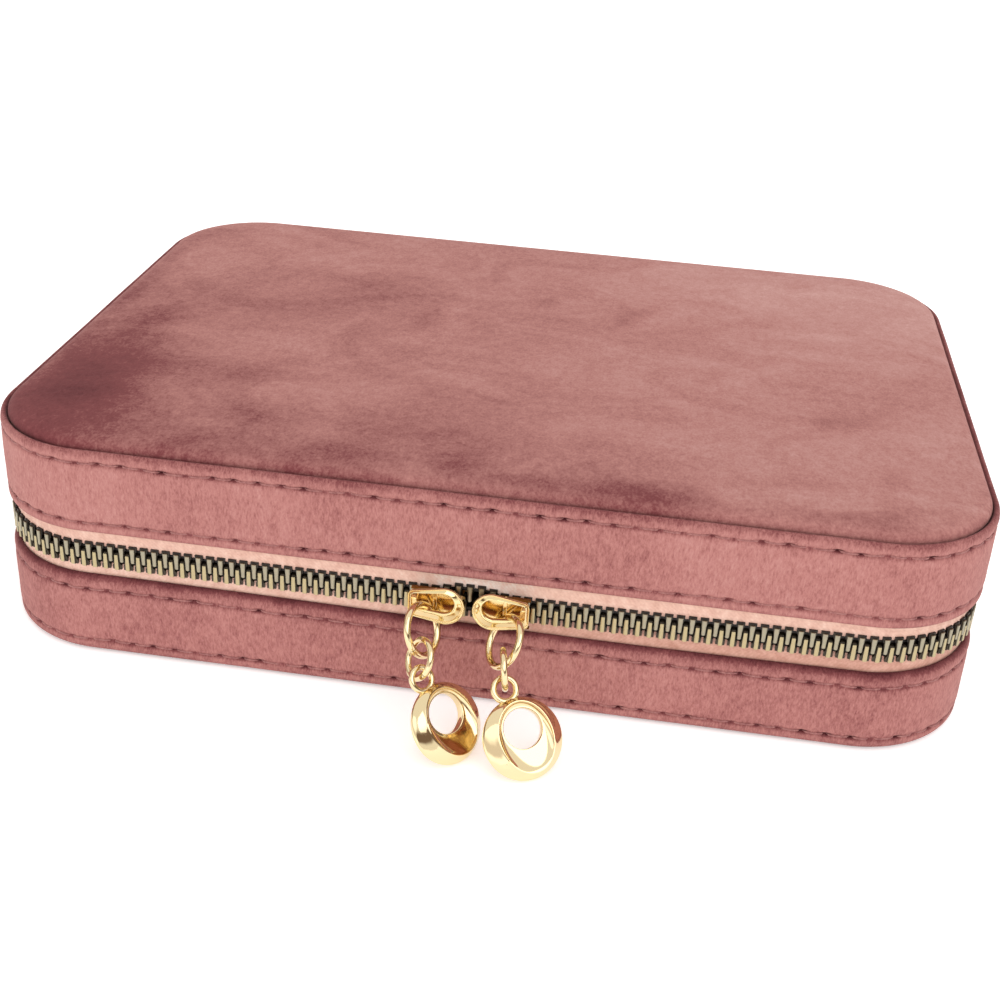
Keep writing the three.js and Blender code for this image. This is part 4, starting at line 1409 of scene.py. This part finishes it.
@dataclass
class RingRolls:
    """Six suede ring rolls side by side: firm foam, round above, flat where they rest."""

    case: CaseSizes = field(default_factory=CaseSizes)
    count: int = 6
    low_x: float = -74.7
    high_x: float = -18.7
    radius: float = 8.267
    pitch: float = 17.533
    first: float = -43.833
    height: float = 12.6

    def roll(self, number: int) -> Patch:
        """One roll: a rounded section that closes over its ends, with faint gathers there.

        The section is flat below and a half circle above. It shrinks towards each end as a quarter of a
        superellipse, and the gathers are a waver round the end that fades over 7 mm.
        """
        random = np.random.default_rng(40 + number)
        middle = self.first + number * self.pitch
        base, top = self.case.floor + 0.05, self.case.floor + self.height
        side = top - self.radius
        angle = np.linspace(0, math.pi, 33)
        arc = np.stack([self.radius * np.cos(angle), side + self.radius * np.sin(angle)], axis=1)
        foot = np.array([(-self.radius, side - 1.6), (-self.radius + 0.15, base + 1.0), (-self.radius + 1.1, base)])
        below = np.stack([np.linspace(-self.radius + 1.9, self.radius - 1.9, 9), np.full(9, base)], axis=1)
        ring = np.concatenate([arc, foot, below, (foot * (-1, 1))[::-1]])
        length = self.high_x - self.low_x
        ends = np.linspace(0, 0.09, 9)
        share = np.concatenate([ends[:-1], np.linspace(0.09, 0.91, 27), np.linspace(0.91, 1, 9)[1:]])
        x = self.low_x + share * length
        reach = np.minimum(x - self.low_x, self.high_x - x)
        size = (1 - np.clip(1 - reach / 3.2, 0, 1) ** 2.6) ** (1 / 2.6)
        size = 0.55 + 0.45 * size
        heart = np.array([0.0, base + 3.2])
        loops = np.zeros((len(x), len(ring), 3))
        loops[..., 0] = x[:, None]
        loops[..., 1:] = heart + (ring - heart) * size[:, None, None]
        around = np.arange(len(ring)) / len(ring)
        gather = np.sin(FULL_TURN * 13 * around + random.uniform(0, 6)) + 0.6 * np.sin(
            FULL_TURN * 7 * around + random.uniform(0, 6)
        )
        fade = np.exp(-reach / 2.4)
        loops[..., 1:] += (ring - heart) / self.radius * (0.16 * gather * fade[:, None])[..., None]
        sag = 0.12 * np.sin(x / 9.0 + random.uniform(0, 6))
        loops[..., 2] += sag[:, None] * np.clip((loops[..., 2] - side) / self.radius, 0, 1)
        loops[..., 2] = np.maximum(loops[..., 2], base)
        loops[..., 1] += middle
        return loft(loops)

    def build(self) -> None:
        """Builds the rolls."""
        for number in range(self.count):
            roll = make_object(f"suede_roll_{number + 1}", [self.roll(number)], Suede())
            settle(roll, "base", f"ring_roll_{number + 1}")


@dataclass
class Dividers:
    """Board dividers wrapped in suede, with rounded tops."""

    case: CaseSizes = field(default_factory=CaseSizes)
    top: float = 14.2
    thickness: float = 2.4

    def wall(self, start: tuple[float, float], end: tuple[float, float]) -> Patch:
        """One divider between two points on the floor: a straight-sided section with a round top."""
        half = self.thickness / 2
        base = self.case.floor + 0.05
        angle = np.linspace(0, math.pi, 13)
        arc = np.stack([half * np.cos(angle), self.top - half + half * np.sin(angle)], axis=1)
        sides = np.array([(-half + 0.04, 9.5), (-half + 0.06, 6.0), (-half, base)])
        ring = np.concatenate([arc, sides, (sides * (-1, 1))[::-1]])
        a, b = np.array(start), np.array(end)
        length = np.linalg.norm(b - a)
        along = (b - a) / length
        across = np.array([along[1], -along[0]])
        t = np.linspace(0, 1, 40)
        reach = np.minimum(t, 1 - t) * length
        size = 1 - 0.3 * np.clip(1 - reach / 0.6, 0, 1) ** 2
        flat = a + along * (t * length)[:, None]
        loops = np.zeros((len(t), len(ring), 3))
        loops[..., :2] = flat[:, None] + across * (ring[None, :, 0:1] * size[:, None, None])
        loops[..., 2] = ring[:, 1] + 0.05 * np.sin(t * 17)[:, None] * (ring[:, 1] > 12)
        return loft(loops)

    def build(self) -> None:
        """Builds the dividers."""
        places = (
            ("long_divider", (-15.5, -56.3), (-15.5, 56.3)),
            ("cross_divider", (-14.0, 10.0), (79.3, 10.0)),
            ("short_divider", (36.0, -56.3), (36.0, 8.5)),
        )
        for node, start, end in places:
            settle(make_object(f"{node}_suede", [self.wall(start, end)], Suede()), "base", node)


@dataclass
class LidMirror:
    """The mirror under the lid and its padded velvet frame."""

    case: CaseSizes = field(default_factory=CaseSizes)
    glass: RoundedRectangle = RoundedRectangle(118.0, 76.0, 8.0)
    border: RoundedRectangle = RoundedRectangle(128.6, 86.6, 13.3)

    def build(self) -> None:
        """Builds the glass with its ground edge, and the frame as a rounded section carried round it."""
        ceiling = self.case.ceiling
        s = self.glass.places(1.5)[:-1]
        steps = [(0.0, ceiling - 0.12), (0.0, ceiling - 0.68), (0.35, ceiling - 0.88)]
        rings = [carried(self.glass, s, np.array([i]), np.array([z]))[:, 0] for i, z in steps]
        settle(make_object("mirror_glass", [loft(np.array(rings))], SilveredGlass(), 8), "lid", "mirror")
        s = self.border.places(1.0)[:-1]
        angle = np.linspace(0, math.pi, 15)
        inset = 2.5 - 2.5 * np.cos(angle)
        height = ceiling - 0.12 - 1.28 * np.sin(angle) ** 0.8
        inset = np.concatenate([inset, [4.6, 0.4]])
        height = np.concatenate([height, [ceiling - 0.1, ceiling - 0.1]])
        ring = loft(carried(self.border, s, inset, height), closed=True)
        settle(make_object("mirror_border", [ring], Velvet(along=Along.FORWARD)), "lid", "mirror_frame")


@dataclass
class Boards:
    """The boards inside the shells, which keep their CAD solids."""

    nodes: tuple[str, ...] = ("base_floor_board", "base_wall_frame", "lid_top_board", "lid_wall_frame")

    def build(self) -> None:
        """Gives each board its finish."""
        for node in self.nodes:
            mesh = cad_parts[node].data
            mesh.materials.clear()
            mesh.materials.append(GreyBoard().material())
            log.info("%s keeps its CAD solid", node)


# The studio


@dataclass(frozen=True)
class StudioPaper(Finish):
    """Matt white paper on a light table, which glows a little."""

    def draw(self, tree: bpy.types.NodeTree) -> bpy.types.Node:
        colour = ramp(tree, noise(tree, (60, 60, 60), 2.0), (0.2, "fbfafa"), (0.8, "ffffff"))
        return surface(tree, colour, 0.9, Emission_Color=colour, Emission_Strength=0.38)


@dataclass
class Studio:
    """A pale floor, soft lights, and the camera at the photograph's angle."""

    position: tuple[float, float, float] = (29.391, -263.923, 148.145)
    right: tuple[float, float, float] = (0.98782449, 0.14671556, 0.05174275)
    up: tuple[float, float, float] = (-0.1144997, 0.46047365, 0.88025783)
    forward: tuple[float, float, float] = (-0.10532135, 0.87546477, -0.47166604)
    focal_pixels: float = 1465.701
    frame_pixels: float = 1000.0
    sensor: float = 36.0

    def camera(self) -> None:
        """Sets the camera: its columns are right, up and backwards, and its lens follows the sensor."""
        lens = bpy.data.cameras.new("photo_camera")
        lens.sensor_width = self.sensor
        lens.lens = self.sensor * self.focal_pixels / self.frame_pixels
        lens.clip_start, lens.clip_end = 0.01, 20.0
        eye = bpy.data.objects.new("photo_camera", lens)
        columns = np.array([self.right, self.up, [-f for f in self.forward]]).T
        matrix = Matrix(columns.tolist()).to_4x4()
        matrix.translation = [p * MM for p in self.position]
        eye.matrix_world = matrix
        bpy.context.scene.collection.objects.link(eye)
        bpy.context.scene.camera = eye

    def soft_sun(self, name: str, toward: Sequence[float], angle: float, strength: float) -> None:
        """One wide, even light that shines from a direction, with its width as an angle in degrees."""
        light = bpy.data.lights.new(name, "SUN")
        light.angle = math.radians(angle)
        light.energy = strength
        lamp = bpy.data.objects.new(name, light)
        lamp.matrix_world = Vector(toward).to_track_quat("Z", "Y").to_matrix().to_4x4()
        bpy.context.scene.collection.objects.link(lamp)

    def floor(self) -> None:
        """A wide pale light table, level with the box's underside, which keeps the shadows faint."""
        mesh = bpy.data.meshes.new("paper_floor")
        reach = 4.0
        corners = [(-reach, -reach, 0), (reach, -reach, 0), (reach, reach, 0), (-reach, reach, 0)]
        mesh.from_pydata(corners, [], [(0, 1, 2, 3)])
        paper = bpy.data.objects.new("paper_floor", mesh)
        bpy.context.scene.collection.objects.link(paper)
        mesh.materials.append(StudioPaper().material())

    def world(self) -> None:
        """A pale surround with a darker belt above eye level, which gives polished metal its contrast."""
        world = bpy.data.worlds.new("studio_surround")
        world.use_nodes = True
        tree = world.node_tree
        tree.nodes.clear()
        where = add_node(tree, "ShaderNodeTexCoord")
        parts = add_node(tree, "ShaderNodeSeparateXYZ", {"Vector": where.outputs["Generated"]})
        stops = [(0.14, "fffdfb"), (0.22, "7d6a60"), (0.4, "7d6a60"), (0.52, "fffdfb")]
        belt = add_node(tree, "ShaderNodeValToRGB", {"Fac": parts.outputs["Z"]}, stops=stops)
        shade = add_node(tree, "ShaderNodeBackground", {"Color": belt.outputs[0], "Strength": 1.0})
        add_node(tree, "ShaderNodeOutputWorld", {"Surface": shade.outputs[0]})
        bpy.context.scene.world = world

    def build(self) -> None:
        """Sets the stage."""
        bpy.context.scene.view_settings.view_transform = "Standard"
        self.world()
        self.floor()
        self.camera()
        self.soft_sun("key_light", (0.45, -0.55, 0.75), 50.0, 0.73)
        self.soft_sun("front_light", (-0.45, -0.95, 0.35), 60.0, 0.55)


def main() -> None:
    """Builds the box in order."""
    logging.basicConfig(level=logging.INFO, format="%(message)s")
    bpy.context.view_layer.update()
    case = CaseSizes()
    left = Pull(
        side="left",
        nose=0.7,
        facing=1,
        large=Link((-5.64, -67.6, 16.97), 70.7, 22),
        small=Link((-5.11, -72.39, 14.6), 126.4, -24.6),
        charm=Link((0.3, -76.61, 5.84), 51.2, 35.2, 9.6),
    )
    right = Pull(
        side="right",
        nose=1.9,
        facing=-1,
        large=Link((7.82, -67.43, 16.56), 118.6, -29.2),
        small=Link((8.52, -71.58, 14.18), 99.7, 5.6),
        charm=Link((12.8, -77.57, 5.56), 26.8, 39.2, 11.3),
    )
    parts = [BaseShell(case), LidShell(case), HingeSpine(case), Zipper(case), left, right]
    parts += [RingRolls(case), Dividers(case), LidMirror(case), Boards(), Studio()]
    for part in parts:
        part.build()


if __name__ == "__main__":
    main()
